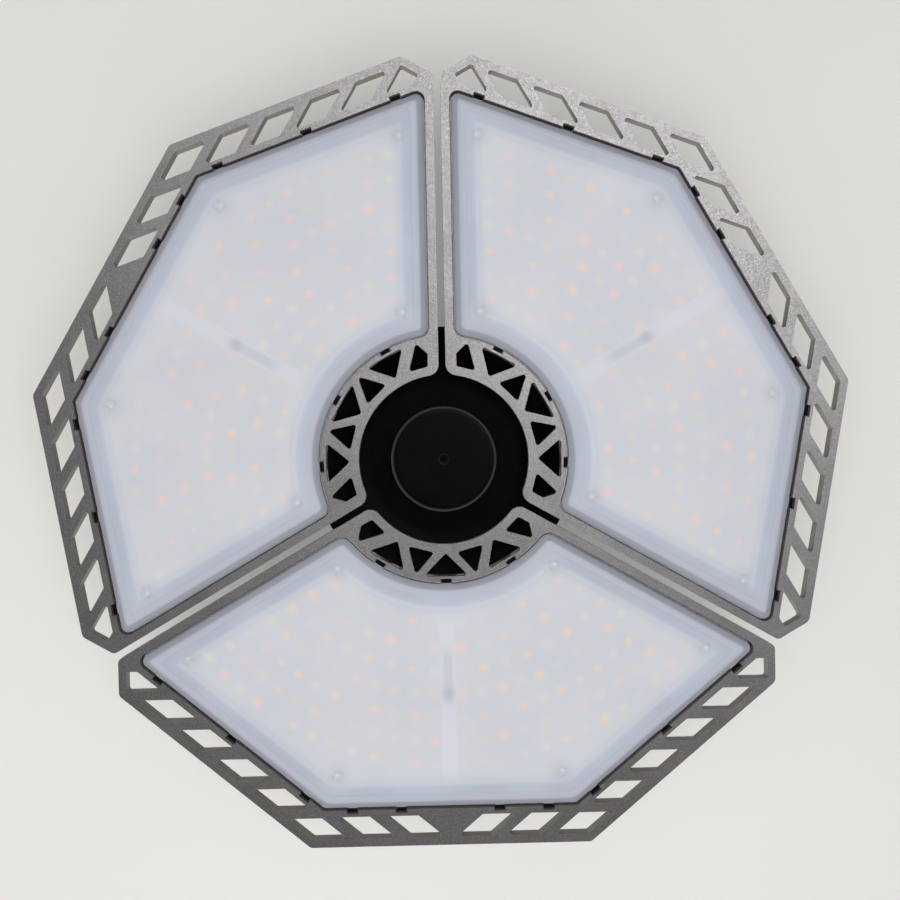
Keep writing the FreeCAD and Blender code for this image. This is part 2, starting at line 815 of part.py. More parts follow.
def make_frame(number, placement):
    """The die-cast panel: a tray with a pierced rim outside and a truss ring inside."""
    body = new_body(f"panel_{number}_frame", placement)
    tray_edge = mm("inner_strip")
    wall_arc = mm("pocket_arc_radius") - mm("ring_wall")
    ring = fill_sketch(body, f"frame_{number}_plan", [frame_outline()])
    pad(body, ring, size("ring_depth"))
    rim_plan = [frame_outline(wall_arc)]
    rim = fill_sketch(body, f"frame_{number}_rim", rim_plan, size("ring_depth"))
    pad(body, rim, size("rim_depth") - size("ring_depth"))
    tray_plan = sector(wall_arc, mm("ring_corner_round"),
                       mm("seam_half_gap"), POCKET_APOTHEM + tray_edge, mm("pocket_round"),
                       mm("pocket_vertex_round"))
    tray = fill_sketch(body, f"frame_{number}_tray", [tray_plan], size("rim_depth"))
    pad(body, tray, size("tray_depth") - size("rim_depth"))
    ribs = []
    half = mm("rib_thickness") / 2.0
    for y, low, high in rib_spans():
        corners = (Vector(low, y - half, 0), Vector(high, y - half, 0),
                   Vector(high, y + half, 0), Vector(low, y + half, 0))
        ribs.append(rounded_loop(corners, (0, 0, 0, 0)))
    rib_sketch = fill_sketch(body, f"frame_{number}_ribs", ribs, size("tray_depth"))
    pad(body, rib_sketch, size("rib_depth"))
    boss_sketch = new_sketch(body, f"frame_{number}_bosses", "XY_Plane", size("tray_depth"))
    for place in board_screw_places():
        bound_circle(boss_sketch, place.x, place.y, size("boss_radius"))
    pad(body, boss_sketch, size("boss_depth"))
    pad_sketch = new_sketch(body, f"frame_{number}_bracket_pad", "XY_Plane", size("tray_depth"))
    margin = size("bracket_pad_margin")
    start = size("bracket_start") - margin
    end = size("bracket_end") + margin
    half_width = size("bracket_half_width") + margin
    bound_outline(pad_sketch, ((start, -half_width), (end, -half_width), (end, half_width),
                               (start, half_width)))
    pad(body, pad_sketch, size("bracket_pad_depth"))

    well = fill_sketch(body, f"frame_{number}_well", [pocket_outline(0.0)])
    pocket(body, well, size("pocket_depth"))
    loops = []
    for corners, radii in rim_holes():
        loops.append(rounded_loop(corners, radii))
        loops.append(rounded_loop([mirrored(point) for point in corners], radii))
    holes = fill_sketch(body, f"frame_{number}_rim_holes", loops)
    pocket(body, holes, size("rim_depth"))
    small = mm("ring_hole_round")
    inner = mm("ring_hole_inner")
    outer = mm("ring_hole_outer")
    centre = (polar(inner, 0.0), polar(outer, RING_CENTRE_HOLE), polar(outer, -RING_CENTRE_HOLE))
    loops = [rounded_loop(centre, (small, small, small))]
    for corners in ring_holes():
        radii = [small] * len(corners)
        loops.append(rounded_loop(corners, radii))
        loops.append(rounded_loop([mirrored(point) for point in corners], radii))
    truss = fill_sketch(body, f"frame_{number}_truss", loops)
    pocket(body, truss, size("ring_depth"))
    loops = []
    for place, outward in edge_places():
        loops.append(edge_rectangle(place, outward, mm("notch_length"), -mm("diffuser_gap"),
                                    mm("notch_reach")))
    notches = fill_sketch(body, f"frame_{number}_notches", loops)
    pocket(body, notches, size("notch_depth"))
    pilots = new_sketch(body, f"frame_{number}_pilots", "XY_Plane")
    for place in board_screw_places():
        bound_circle(pilots, place.x, place.y, size("board_screw_hole"))
    pocket(body, pilots, BOARD_FRONT + size("board_screw_length") + size("screw_hole_rest"))
    back = PAD_BACK - size("bracket_screw_bite") - size("screw_hole_rest")
    bites = new_sketch(body, f"frame_{number}_bites", "XY_Plane", back)
    for side in (1.0, -1.0):
        bound_circle(bites, size("bracket_screw_x"), size("bracket_screw_y") * side,
                     size("bracket_screw_radius") + size("running_gap"))
    pocket(body, bites, size("bracket_screw_bite") + CUT_PAST)
    wire_hole = new_sketch(body, f"frame_{number}_wire_hole", "XY_Plane")
    bound_circle(wire_hole, size("panel_grommet_x"), size("panel_grommet_y"),
                 size("grommet_hole"))
    pocket(body, wire_hole, size("tray_depth") + size("rib_depth"))
    return body


def make_board(number, placement):
    """The aluminium lamp board on the tray's floor."""
    body = new_body(f"panel_{number}_lamp_board", placement)
    plan = fill_sketch(body, f"board_{number}_plan", [pocket_outline(mm("board_gap"))], BOARD_FRONT)
    pad(body, plan, size("board_thickness"))
    holes = new_sketch(body, f"board_{number}_holes", "XY_Plane", BOARD_FRONT)
    for place in board_screw_places():
        bound_circle(holes, place.x, place.y, size("board_screw_hole"))
    pocket(body, holes, size("board_thickness"))
    return body


def make_chips(number, placement):
    """The lamp chips, each a flat package that faces away from the board."""
    half_length = mm("chip_length") / 2.0
    half_width = mm("chip_width") / 2.0
    back = BOARD_FRONT.value
    chip = block((-half_length, half_length), (-half_width, half_width),
                 (back - mm("chip_height"), back))
    solids = []
    for place, angle in chip_places():
        solids.append(placed(chip, place.x, place.y, 0.0, angle=angle))
    return add_feature(f"panel_{number}_lamp_chips", solids, placement)


def make_diffuser(number, placement):
    """The frosted cover: a raised shell with a sloped edge, a skirt and snap hooks."""
    body = new_body(f"panel_{number}_diffuser", placement)
    gap = mm("diffuser_gap")
    edge = size("lens_edge_depth")
    skirt = fill_sketch(body, f"diffuser_{number}_skirt", [pocket_outline(gap)], edge)
    pad(body, skirt, BOARD_FRONT - edge)
    lower = fill_sketch(body, f"diffuser_{number}_low", [pocket_outline(gap)], edge)
    upper = fill_sketch(body, f"diffuser_{number}_high",
                        [pocket_outline(gap + mm("lens_slope"))], -size("lens_rise"))
    slope = body.newObject("PartDesign::AdditiveLoft", f"diffuser_{number}_slope")
    slope.Profile = lower
    slope.Sections = [upper]
    slope.Ruled = True
    hooks = []
    for place, outward in edge_places():
        hooks.append(edge_rectangle(place, outward, mm("hook_length"), -gap - mm("hook_root"),
                                    mm("hook_reach")))
    hook_sketch = fill_sketch(body, f"diffuser_{number}_hooks", hooks, size("hook_start"))
    pad(body, hook_sketch, size("hook_depth"))
    step = size("skirt_step_depth")
    wide = fill_sketch(body, f"diffuser_{number}_wide",
                       [pocket_outline(gap + mm("skirt_wall"))], step)
    pocket(body, wide, BOARD_FRONT - step)
    inner_face = size("lens_wall") - size("lens_rise")
    inset = gap + mm("lens_slope") + mm("lens_wall_inset")
    deep = fill_sketch(body, f"diffuser_{number}_deep", [pocket_outline(inset)], inner_face)
    pocket(body, deep, BOARD_FRONT - inner_face)
    return body


def make_board_screws(number, placement):
    """Six screws that hold the lamp board and can be seen through the diffuser."""
    screw = cross_screw(mm("board_screw_radius"), mm("board_screw_length"),
                        mm("board_screw_head"), mm("board_screw_head_height"))
    front = BOARD_FRONT.value
    solids = []
    for place in board_screw_places():
        turn = place.x * RECESS_TURN
        solids.append(placed(screw, place.x, place.y, front, flip=True, angle=turn))
    return add_feature(f"panel_{number}_board_screws", solids, placement)


def make_bracket(number, placement):
    """The hinge bracket: a foot plate on the panel's back and the tongue that turns on the pin."""
    body = new_body(f"panel_{number}_hinge_bracket", placement)
    start = size("bracket_start")
    end = size("bracket_end")
    half = size("bracket_half_width")
    foot = new_sketch(body, f"bracket_{number}_foot", "XY_Plane", PAD_BACK)
    bound_outline(foot, ((start, -half), (end, -half), (end, half), (start, half)))
    pad(body, foot, size("bracket_thickness"))
    holes = new_sketch(body, f"bracket_{number}_holes", "XY_Plane", PAD_BACK)
    for side in (1.0, -1.0):
        bound_circle(holes, size("bracket_screw_x"), size("bracket_screw_y") * side,
                     size("bracket_screw_radius") + size("running_gap"))
    pocket(body, holes, size("bracket_thickness"))
    x = size("hinge_radius")
    depth = size("hinge_depth")
    heel = x - size("slot_floor") + size("heel_gap")
    neck = new_sketch(body, f"bracket_{number}_neck", "XZ_Plane")
    root = BRACKET_BACK - size("bracket_thickness") * 0.5
    far = x + size("knuckle_radius")
    bound_outline(neck, ((heel, root), (far + size("tongue_foot"), root), (far, depth), (x, depth),
                         (heel, depth - size("heel_bevel"))))
    pad(body, neck, size("tongue_half_width") * 2.0, symmetric=True)
    knuckle = new_sketch(body, f"bracket_{number}_knuckle", "XZ_Plane")
    bound_circle(knuckle, x, depth, size("knuckle_radius"))
    pad(body, knuckle, size("tongue_half_width") * 2.0, symmetric=True)
    bore = new_sketch(body, f"bracket_{number}_bore", "XZ_Plane")
    bound_circle(bore, x, depth, PIN_HOLE)
    pocket(body, bore, size("tongue_half_width") * 4.0, symmetric=True)
    return body


def make_bracket_screws(number, placement):
    """Two screws that hold the hinge bracket to the panel."""
    bite = mm("bracket_thickness") + mm("bracket_screw_bite")
    screw = cross_screw(mm("bracket_screw_radius"), bite, mm("bracket_screw_head"),
                        mm("bracket_screw_head_height"))
    solids = []
    for side in (1.0, -1.0):
        solids.append(placed(screw, mm("bracket_screw_x"), side * mm("bracket_screw_y"),
                             BRACKET_BACK.value, angle=30.0 * side))
    return add_feature(f"panel_{number}_bracket_screws", solids, placement)


def grommet(front, back):
    """A rubber ring in a wire hole of a plate that spans the two depths."""
    hole = mm("grommet_hole") - mm("running_gap")
    ring = rod(hole, front, back).fuse(rod(mm("grommet_flange"), back, back + mm("grommet_lip")))
    rim = [edge for edge in ring.Edges
           if abs(edge.BoundBox.ZMin - back - mm("grommet_lip")) < TOLERANCE]
    ring = ring.makeFillet(mm("grommet_lip") * LIP_ROUND, rim)
    bore = rod(mm("grommet_bore"), front - CUT_PAST, back + mm("grommet_lip") + CUT_PAST)
    return ring.cut(bore)


def make_panel_grommet(number, placement):
    """The rubber grommet where the panel's leads come out of the tray."""
    ring = grommet(mm("pocket_depth"), mm("tray_depth"))
    solid = placed(ring, mm("panel_grommet_x"), mm("panel_grommet_y"), 0.0)
    return add_feature(f"panel_{number}_grommet", [solid], placement)


def make_panel(number, angle):
    """Every piece of one panel."""
    placement = hub_placement(angle)
    make_frame(number, placement)
    make_board(number, placement)
    make_chips(number, placement)
    make_diffuser(number, placement)
    make_board_screws(number, placement)
    make_bracket(number, placement)
    make_bracket_screws(number, placement)
    make_panel_grommet(number, placement)


# ---- a hinge's loose pieces, which stay with the hub ----


def make_hinge(number, angle):
    """The hinge screw, its nut and the two friction washers beside the tongue."""
    placement = hub_placement(angle)
    x = size("hinge_radius")
    depth = size("hinge_depth")
    outer = CHEEK_OUTER.value
    head = mm("pin_head_height")
    nut = mm("nut_height")
    along = Rotation(Vector(1, 0, 0), 90.0)
    centre = Vector(x.value, 0, depth.value)

    pin = cross_screw(mm("pin_radius"), outer * 2.0 + nut + mm("pin_end"), mm("pin_head_radius"),
                      head)
    pin.Placement = Placement(centre + Vector(0, -outer, 0), along)
    add_feature(f"hinge_{number}_pin", [pin], placement)

    corner = mm("nut_across_flats") / math.sqrt(3.0)
    hexagon = [polar(corner, 60.0 * step) for step in range(6)]
    nut_solid = slab(rounded_loop(hexagon, (0,) * 6), -nut, 0.0)
    nut_solid = nut_solid.cut(rod(PIN_HOLE.value, -nut - CUT_PAST, CUT_PAST))
    nut_solid.Placement = Placement(centre + Vector(0, outer, 0), along)
    add_feature(f"hinge_{number}_nut", [nut_solid], placement)

    washers = []
    gap = mm("running_gap")
    inner = mm("tongue_half_width") + gap
    ring = rod(mm("washer_radius"), 0.0, mm("washer_thickness"))
    ring = ring.cut(rod(PIN_HOLE.value, -CUT_PAST, mm("washer_thickness") + CUT_PAST))
    for low in (inner + mm("washer_thickness"), -inner):
        washer = ring.copy()
        washer.Placement = Placement(centre + Vector(0, low, 0), along)
        washers.append(washer)
    add_feature(f"hinge_{number}_washers", washers, placement)


# ---- the hub ----


def make_carrier():
    """The black die-cast plate that carries the three hinge forks."""
    body = new_body("hub_carrier", hub_placement())
    front = size("carrier_depth")
    revolve(body, "carrier_disc", (
        (size("carrier_hole"), front),
        (size("carrier_radius"), front),
        (size("carrier_radius"), CARRIER_BACK),
        (size("carrier_hole"), CARRIER_BACK),
    ))
    x = mm("hinge_radius")
    depth = mm("hinge_depth")
    radius = mm("knuckle_radius")
    arm_front = mm("carrier_depth")
    arm_back = arm_front + mm("arm_thickness")
    front_x = x - math.sqrt(radius ** 2 - (depth - arm_front) ** 2)
    back_x = x - math.sqrt(radius ** 2 - (arm_back - depth) ** 2)
    side = new_sketch(body, "arm_side", "XZ_Plane")
    root_front = Vector(mm("arm_root"), arm_front, 0)
    root_back = Vector(mm("arm_root"), arm_back, 0)
    tip_front = Vector(front_x, arm_front, 0)
    tip_back = Vector(back_x, arm_back, 0)
    side.addGeometry([
        Part.LineSegment(root_front, tip_front),
        Part.Arc(tip_front, Vector(x + radius, depth, 0), tip_back),
        Part.LineSegment(tip_back, root_back),
        Part.LineSegment(root_back, root_front),
    ])
    arm = pad(body, side, CHEEK_OUTER * 2.0, symmetric=True)
    slot = new_sketch(body, "arm_slot", "XZ_Plane")
    floor = size("hinge_radius") - size("slot_floor")
    past = size("knuckle_radius") + CUT_PAST
    reach = size("hinge_radius") + past
    low = size("hinge_depth") - past
    high = size("hinge_depth") + past
    bound_outline(slot, ((floor, low), (reach, low), (reach, high), (floor, high)))
    gap = pocket(body, slot, CHEEK_INNER * 2.0, symmetric=True)
    eye = new_sketch(body, "arm_eye", "XZ_Plane")
    bound_circle(eye, size("hinge_radius"), size("hinge_depth"), PIN_HOLE)
    bore = pocket(body, eye, CHEEK_OUTER * 4.0, symmetric=True)
    repeat_round(body, [arm, gap, bore], ARM_COUNT)
    holes = new_sketch(body, "carrier_holes", "XY_Plane", front)
    for angle in HUB_SCREW_ANGLES:
        for circle in ("housing_screw_circle", "dish_screw_circle"):
            across = math.cos(math.radians(angle))
            along = math.sin(math.radians(angle))
            bound_circle(holes, size(circle) * across, size(circle) * along,
                         size("hub_screw_radius") + size("running_gap"))
    for angle in HUB_GROMMET_ANGLES:
        across = math.cos(math.radians(angle))
        along = math.sin(math.radians(angle))
        bound_circle(holes, size("hub_grommet_circle") * across,
                     size("hub_grommet_circle") * along, size("grommet_hole"))
    pocket(body, holes, size("carrier_thickness"))
    return body


def make_dish():
    """The black bowl in front of the carrier, with a skirt that stands on it."""
    body = new_body("front_dish", hub_placement())
    wall = size("dish_wall")
    rim = size("dish_rim_depth")
    floor = size("dish_floor_depth")
    outer = size("dish_radius")
    flat = size("dish_floor_radius")
    back = size("carrier_depth")
    revolve(body, "dish_profile", (
        (size("post_hole"), floor),
        (flat, floor),
        (outer - wall, rim),
        (outer, rim),
        (outer, back),
        (outer - wall, back),
        (outer - wall, rim + wall),
        (flat, floor + wall),
        (size("post_hole"), floor + wall),
    ))
    round_rims(body, "dish_bowl", [(flat, floor)], size("dish_bowl_round"))
    boss_start = size("dish_boss_start")
    bosses = new_sketch(body, "dish_bosses", "XY_Plane", boss_start)
    for angle in HUB_SCREW_ANGLES:
        across = math.cos(math.radians(angle))
        along = math.sin(math.radians(angle))
        circle = size("dish_screw_circle")
        bound_circle(bosses, circle * across, circle * along, size("dish_boss_radius"))
    pad(body, bosses, back - boss_start)
    pilots = new_sketch(body, "dish_pilots", "XY_Plane", floor + wall)
    for angle in HUB_SCREW_ANGLES:
        across = math.cos(math.radians(angle))
        along = math.sin(math.radians(angle))
        circle = size("dish_screw_circle")
        bound_circle(pilots, circle * across, circle * along,
                     size("hub_screw_radius") + size("running_gap"))
    pocket(body, pilots, back - floor)
    return body


def make_cap():
    """The round centre cap, snapped into the dish by its post."""
    body = new_body("centre_cap", hub_placement())
    face = size("cap_depth")
    wall = size("cap_wall")
    outer = size("cap_radius")
    floor = size("dish_floor_depth")
    post = size("post_radius")
    post_end = floor + size("dish_wall") + size("post_end")
    revolve(body, "cap_profile", (
        (0.0, face + size("dimple_depth")),
        (size("dimple_radius"), face),
        (outer, face),
        (outer, floor),
        (outer - wall, floor),
        (outer - wall, face + wall),
        (post, face + wall),
        (post, post_end),
        (0.0, post_end),
    ))
    round_rims(body, "cap_edge", [(outer, face)], size("cap_round"))
    return body


def make_housing():
    """The driver's black housing, open below, with a ring of upright vents."""
    body = new_body("driver_housing", hub_placement())
    wall = size("housing_wall")
    base = CARRIER_BACK
    flange = base + size("flange_thickness")
    low = size("housing_base_radius")
    high = size("housing_top_radius")
    neck = size("neck_radius")
    inner_neck = size("neck_mouth_radius")
    revolve(body, "housing_profile", (
        (low - wall, base),
        (size("flange_radius"), base),
        (size("flange_radius"), flange),
        (low, flange),
        (high, SHOULDER),
        (neck, HOUSING_TOP),
        (inner_neck, HOUSING_TOP),
        (inner_neck, HOUSING_TOP - wall),
        (neck - wall, HOUSING_TOP - wall),
        (high - wall, SHOULDER - wall),
        (low - wall, flange),
    ))
    round_rims(body, "housing_shoulder", [(high, SHOULDER)], size("shoulder_round"))
    slot = new_sketch(body, "housing_slot", "YZ_Plane")
    half = size("slot_width") * 0.5
    start = size("slot_start")
    bound_outline(slot, ((-half, start), (half, start), (half, start + size("slot_height")),
                         (-half, start + size("slot_height"))))
    cut = pocket(body, slot, size("flange_radius") + CUT_PAST)
    repeat_round(body, [cut], VENT_COUNT)
    holes = new_sketch(body, "housing_holes", "XY_Plane", base)
    for angle in HUB_SCREW_ANGLES:
        across = math.cos(math.radians(angle))
        along = math.sin(math.radians(angle))
        circle = size("housing_screw_circle")
        bound_circle(holes, circle * across, circle * along,
                     size("hub_screw_radius") + size("running_gap"))
    pocket(body, holes, size("flange_thickness"))
    return body


def make_hub_screws():
    """Screws of the housing and of the dish, all put in from behind."""
    housing_back = CARRIER_BACK.value + mm("flange_thickness")
    rest = mm("screw_hole_rest")
    dish_floor_back = mm("dish_floor_depth") + mm("dish_wall")
    groups = (
        ("housing_screws", mm("housing_screw_circle"), housing_back,
         mm("flange_thickness") + mm("carrier_thickness") - rest),
        ("dish_screws", mm("dish_screw_circle"), CARRIER_BACK.value,
         CARRIER_BACK.value - dish_floor_back - rest),
    )
    for label, circle, seat, length in groups:
        screw = cross_screw(mm("hub_screw_radius"), length, mm("hub_screw_head"),
                            mm("hub_screw_head_height"))
        solids = []
        for angle in HUB_SCREW_ANGLES:
            place = polar(circle, angle)
            solids.append(placed(screw, place.x, place.y, seat, angle=angle))
        add_feature(label, solids, hub_placement())


def make_hub_grommets():
    """Three rubber grommets where the panels' leads leave the carrier."""
    ring = grommet(mm("carrier_depth"), CARRIER_BACK.value)
    solids = []
    for angle in HUB_GROMMET_ANGLES:
        place = polar(mm("hub_grommet_circle"), angle)
        solids.append(placed(ring, place.x, place.y, 0.0))
    add_feature("hub_grommets", solids, hub_placement())


def make_neck():
    """The neck between the housing and the screw shell, with a spigot at each end."""
    body = new_body("base_neck")
    spigot = size("spigot_radius")
    foot = -size("neck_length")
    wall = size("housing_wall")
    inner = size("neck_mouth_radius") - size("running_gap")
    bore = spigot - wall
    collar = size("neck_collar")
    seat = size("shell_length") - size("tip_seat_drop")
    revolve(body, "neck_profile", (
        (bore, foot - wall),
        (inner, foot - wall),
        (inner, foot),
        (size("neck_radius"), foot),
        (size("neck_radius"), foot + collar),
        (size("neck_top_radius") + size("neck_lip"), -collar),
        (size("neck_top_radius"), 0.0),
        (spigot, 0.0),
        (spigot, seat),
        (bore, seat),
    ))
    return body


def make_screw_shell():
    """The metal screw shell: a plain collar below and a rounded helical groove above it."""
    body = new_body("screw_shell")
    top = size("shell_length") + size("shell_rim_length")
    revolve(body, "shell_profile", (
        (size("shell_bore"), 0.0),
        (size("collar_radius"), 0.0),
        (size("collar_radius"), size("collar_length")),
        (size("shell_radius"), size("collar_length")),
        (size("shell_radius"), size("shell_length")),
        (size("shell_rim_radius"), size("shell_length")),
        (size("shell_rim_radius"), top),
        (size("shell_bore"), top),
    ))
    crest = mm("shell_radius")
    middle = mm("thread_pitch")
    half = mm("groove_width") / 2.0
    low = Vector(crest, middle - half, 0)
    high = Vector(crest, middle + half, 0)
    outside = Vector(CUT_PAST, 0, 0)
    groove = new_sketch(body, "groove_profile", "XZ_Plane")
    groove.addGeometry([
        Part.Arc(low, Vector(crest - mm("groove_depth"), middle, 0), high),
        Part.LineSegment(high, high + outside),
        Part.LineSegment(high + outside, low + outside),
        Part.LineSegment(low + outside, low),
    ])
    thread = body.newObject("PartDesign::SubtractiveHelix", "thread")
    thread.Profile = groove
    thread.ReferenceAxis = (groove, ["V_Axis"])
    thread.Mode = "pitch-height-angle"
    thread.Angle = 0.0
    thread.LeftHanded = False
    bind(thread, "Pitch", size("thread_pitch"))
    bind(thread, "Height", size("shell_length") - size("thread_pitch") + size("groove_width") * 0.5)
    return body


def make_tip():
    """The black insulator in the shell's end and the contact button riveted through it."""
    top = size("shell_length") + size("shell_rim_length")
    tip = top + size("tip_height")
    spigot = size("spigot_radius")
    seat = size("shell_length") - size("tip_seat_drop")
    rivet = size("rivet_radius")
    tail = seat - size("rivet_tail")
    hole = rivet + size("running_gap")
    insulator = new_body("base_insulator")
    revolve(insulator, "insulator_profile", (
        (hole, seat),
        (spigot, seat),
        (spigot, top),
        (size("tip_radius"), tip),
        (hole, tip),
    ))
    contact = new_body("centre_contact")
    button = tip + size("contact_height")
    revolve(contact, "contact_profile", (
        (0.0, tail),
        (rivet, tail),
        (rivet, tip),
        (size("contact_radius"), tip),
        (size("contact_radius"), tip + size("contact_height") * BUTTON_EDGE),
        (size("contact_radius") * BUTTON_TOP, button),
        (0.0, button),
    ))


def make_driver():
    """The driver: an upright board on the carrier with its large components."""
    base = CARRIER_BACK.value
    half = mm("driver_board_thickness") / 2.0
    wide = mm("driver_board_half_width")
    top = SHOULDER.value + mm("driver_board_rise")
    board = block((-wide, wide), (-half, half), (base, top))
    add_feature("driver_board", [board], hub_placement())

    low = base + mm("driver_lift")
    core_x = (mm("core_inset") - wide, mm("core_inset") - wide + mm("core_length"))
    core_y = (half, half + mm("core_width"))
    window_x = (core_x[0] + mm("core_side"), core_x[1] - mm("core_side"))
    window_z = (low + mm("core_yoke"), low + mm("core_height") - mm("core_yoke"))
    core = block(core_x, core_y, (low, low + mm("core_height")))
    window = block(window_x, (core_y[0] - CUT_PAST, core_y[1] + CUT_PAST), window_z)
    add_feature("transformer_core", [core.cut(window)], hub_placement())
    coil = rod(mm("coil_radius"), *window_z, sum(core_x) / 2.0, sum(core_y) / 2.0)
    add_feature("transformer_coil", [coil], hub_placement())

    cans = []
    can_y = half + mm("capacitor_radius")
    for number in range(2):
        can_x = mm("first_capacitor_x") + number * mm("capacitor_pitch")
        cans.append(rod(mm("capacitor_radius"), low, low + mm("capacitor_height"), can_x, can_y))
    add_feature("bulk_capacitors", cans, hub_placement())

    ring = Part.makeTorus(mm("choke_radius"), mm("choke_wire"))
    centre = Vector(mm("choke_x"), half + mm("choke_wire"), top - mm("choke_drop"))
    ring.Placement = Placement(centre, Rotation(Vector(1, 0, 0), 90.0))
    add_feature("filter_choke", [ring], hub_placement())

    chips = []
    for x, z, across, tall, thick in DRIVER_CHIPS:
        chips.append(block((x - across / 2.0, x + across / 2.0), (-half - thick, -half),
                           (base + z, base + z + tall)))
    add_feature("driver_chips", chips, hub_placement())


# ---- the whole lamp ----


def build():
    """Make every sub-part of the lamp."""
    make_screw_shell()
    make_tip()
    make_neck()
    make_housing()
    make_carrier()
    make_dish()
    make_cap()
    make_hub_screws()
    make_hub_grommets()
    make_driver()
    for number, angle in PANEL_ANGLES.items():
        make_hinge(number, angle)
        make_panel(number, angle)


def check():
    """Stop if any feature failed or any sub-part has no valid shape."""
    for item in doc.Objects:
        for word in ("Invalid", "Error"):
            if word in item.State:
                raise RuntimeError(f"{item.Label} is {item.State}")
    for item in parts:
        if item.Shape.isNull() or not item.Shape.isValid():
            raise RuntimeError(f"{item.Label} has no valid shape")
        if not item.Shape.Solids:
            raise RuntimeError(f"{item.Label} holds no solid")


build()
doc.recompute()
check()
os.makedirs("parts", exist_ok=True)
for item in parts:
    item.Shape.exportStep(f"parts/{item.Label}.step")
    print(item.Label, len(item.Shape.Solids), round(item.Shape.Volume, 1))
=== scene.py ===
"""A ceiling lamp with three folding lamp panels: its finishes, the studio and the camera."""
import math

import bmesh
import bpy
from mathutils import Euler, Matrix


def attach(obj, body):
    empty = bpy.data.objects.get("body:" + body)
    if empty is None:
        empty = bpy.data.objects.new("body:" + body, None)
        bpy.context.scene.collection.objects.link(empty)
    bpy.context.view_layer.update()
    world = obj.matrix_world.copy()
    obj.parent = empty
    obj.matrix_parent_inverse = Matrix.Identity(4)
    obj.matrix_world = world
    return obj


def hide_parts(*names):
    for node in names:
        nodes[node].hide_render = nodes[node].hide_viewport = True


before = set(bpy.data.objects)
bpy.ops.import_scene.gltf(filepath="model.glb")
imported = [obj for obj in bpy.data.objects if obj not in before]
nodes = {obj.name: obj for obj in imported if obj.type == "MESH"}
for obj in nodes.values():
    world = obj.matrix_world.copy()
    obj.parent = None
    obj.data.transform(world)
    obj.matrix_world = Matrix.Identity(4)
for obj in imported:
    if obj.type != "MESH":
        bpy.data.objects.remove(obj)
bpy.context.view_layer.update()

MM = 0.001

# the panels: where the first one's middle is and how much of the circle each takes, in degrees
PANELS = (1, 2, 3)
FIRST_PANEL = 30.0
PANEL_SHARE = 120.0

# the pocket that holds a cover, in millimetres, and the turn of its end side, in degrees
SIDE_APOTHEM = 137.87
END_SIDE = 40.0
SEAM_EDGE = 5.5
HUB_ARC = 49.4
CORNER_SOFTNESS = 3.0

# the cover's heights in millimetres: its raised middle, its rim and the ledge between them
COVER_TOP = -86.8
COVER_RIM = -84.5
LEDGE = -86.45
LEVEL_SLACK = 0.02

# the z of a face's normal: the slope's faces lie between the first two, and the faces of the
# cover's inside start at the third
SLOPE_FLATTEST = -0.98
SLOPE_STEEPEST = -0.2
INSIDE_FACE = 0.2

# how a copy of a CAD node is merged, in millimetres and degrees
MERGE_REACH = 0.002
FLAT_ANGLE = 0.4

# how sharp the softened edges are, in degrees, and how wide they get, in millimetres
COVER_BEND = 40.0
COVER_EDGE = 0.35
CASTING_BEND = 50.0
CASTING_EDGE = 0.4
EDGE_STEPS = 3

# up to which bend the shading stays smooth, in degrees
COVER_SMOOTHING = 62.0
CASTING_SMOOTHING = 32.0

# the arcs of lamp chips behind a cover, in millimetres, and the number of the last arc
FIRST_CHIP_ARC = 65.0
CHIP_ARC_PITCH = 9.35
LAST_CHIP_ARC = 6.0
CHIP_PITCH = 8.0
CHIP_STRIP = 5.2
CHIP_SEAM_MARGIN = 19.4

# the solder spot on a board's middle line, and the reach of one screw head, in millimetres
SOLDER_SPOT = 93.0
SCREW_HEAD = 8.0

# the studio's planes, in metres: the floor under the lamp and the board behind it
STUDIO_SIZE = 60.0
FLOOR_HEIGHT = -0.95
BACKDROP_HEIGHT = 0.0266

# the bright card on the floor, in millimetres: its middle, its core and where it ends
CARD = (-220.0, 360.0)
CARD_CORE = 100.0
CARD_EDGE = 640.0

# how strongly each part of the studio glows, and the air as light and as background
CARD_GLOW = 8.6
FLOOR_GLOW = 0.32
BACKDROP_GLOW = 0.16
AIR_TINT = (0.93, 0.95, 1.0, 1.0)
AIR_LIGHT = 0.25
AIR_SEEN = 0.8

# the camera, fitted to the plate's corners and holes, in metres, degrees and millimetres
CAMERA_PLACE = (0.0050233, 0.0177341, -0.6002887)
CAMERA_TURN = (178.44829, 0.86509, -178.89156)
CAMERA_LENS = 52.24
CAMERA_SENSOR = 36.0
CAMERA_NEAREST = 0.01


def tint(red, green, blue):
    """A colour as seen on a screen, from 0 to 255, as the linear colour that a shader takes."""
    linear = []
    for value in (red, green, blue):
        value = value / 255.0
        linear.append(value / 12.92 if value <= 0.04045 else ((value + 0.055) / 1.055) ** 2.4)
    return (*linear, 1.0)


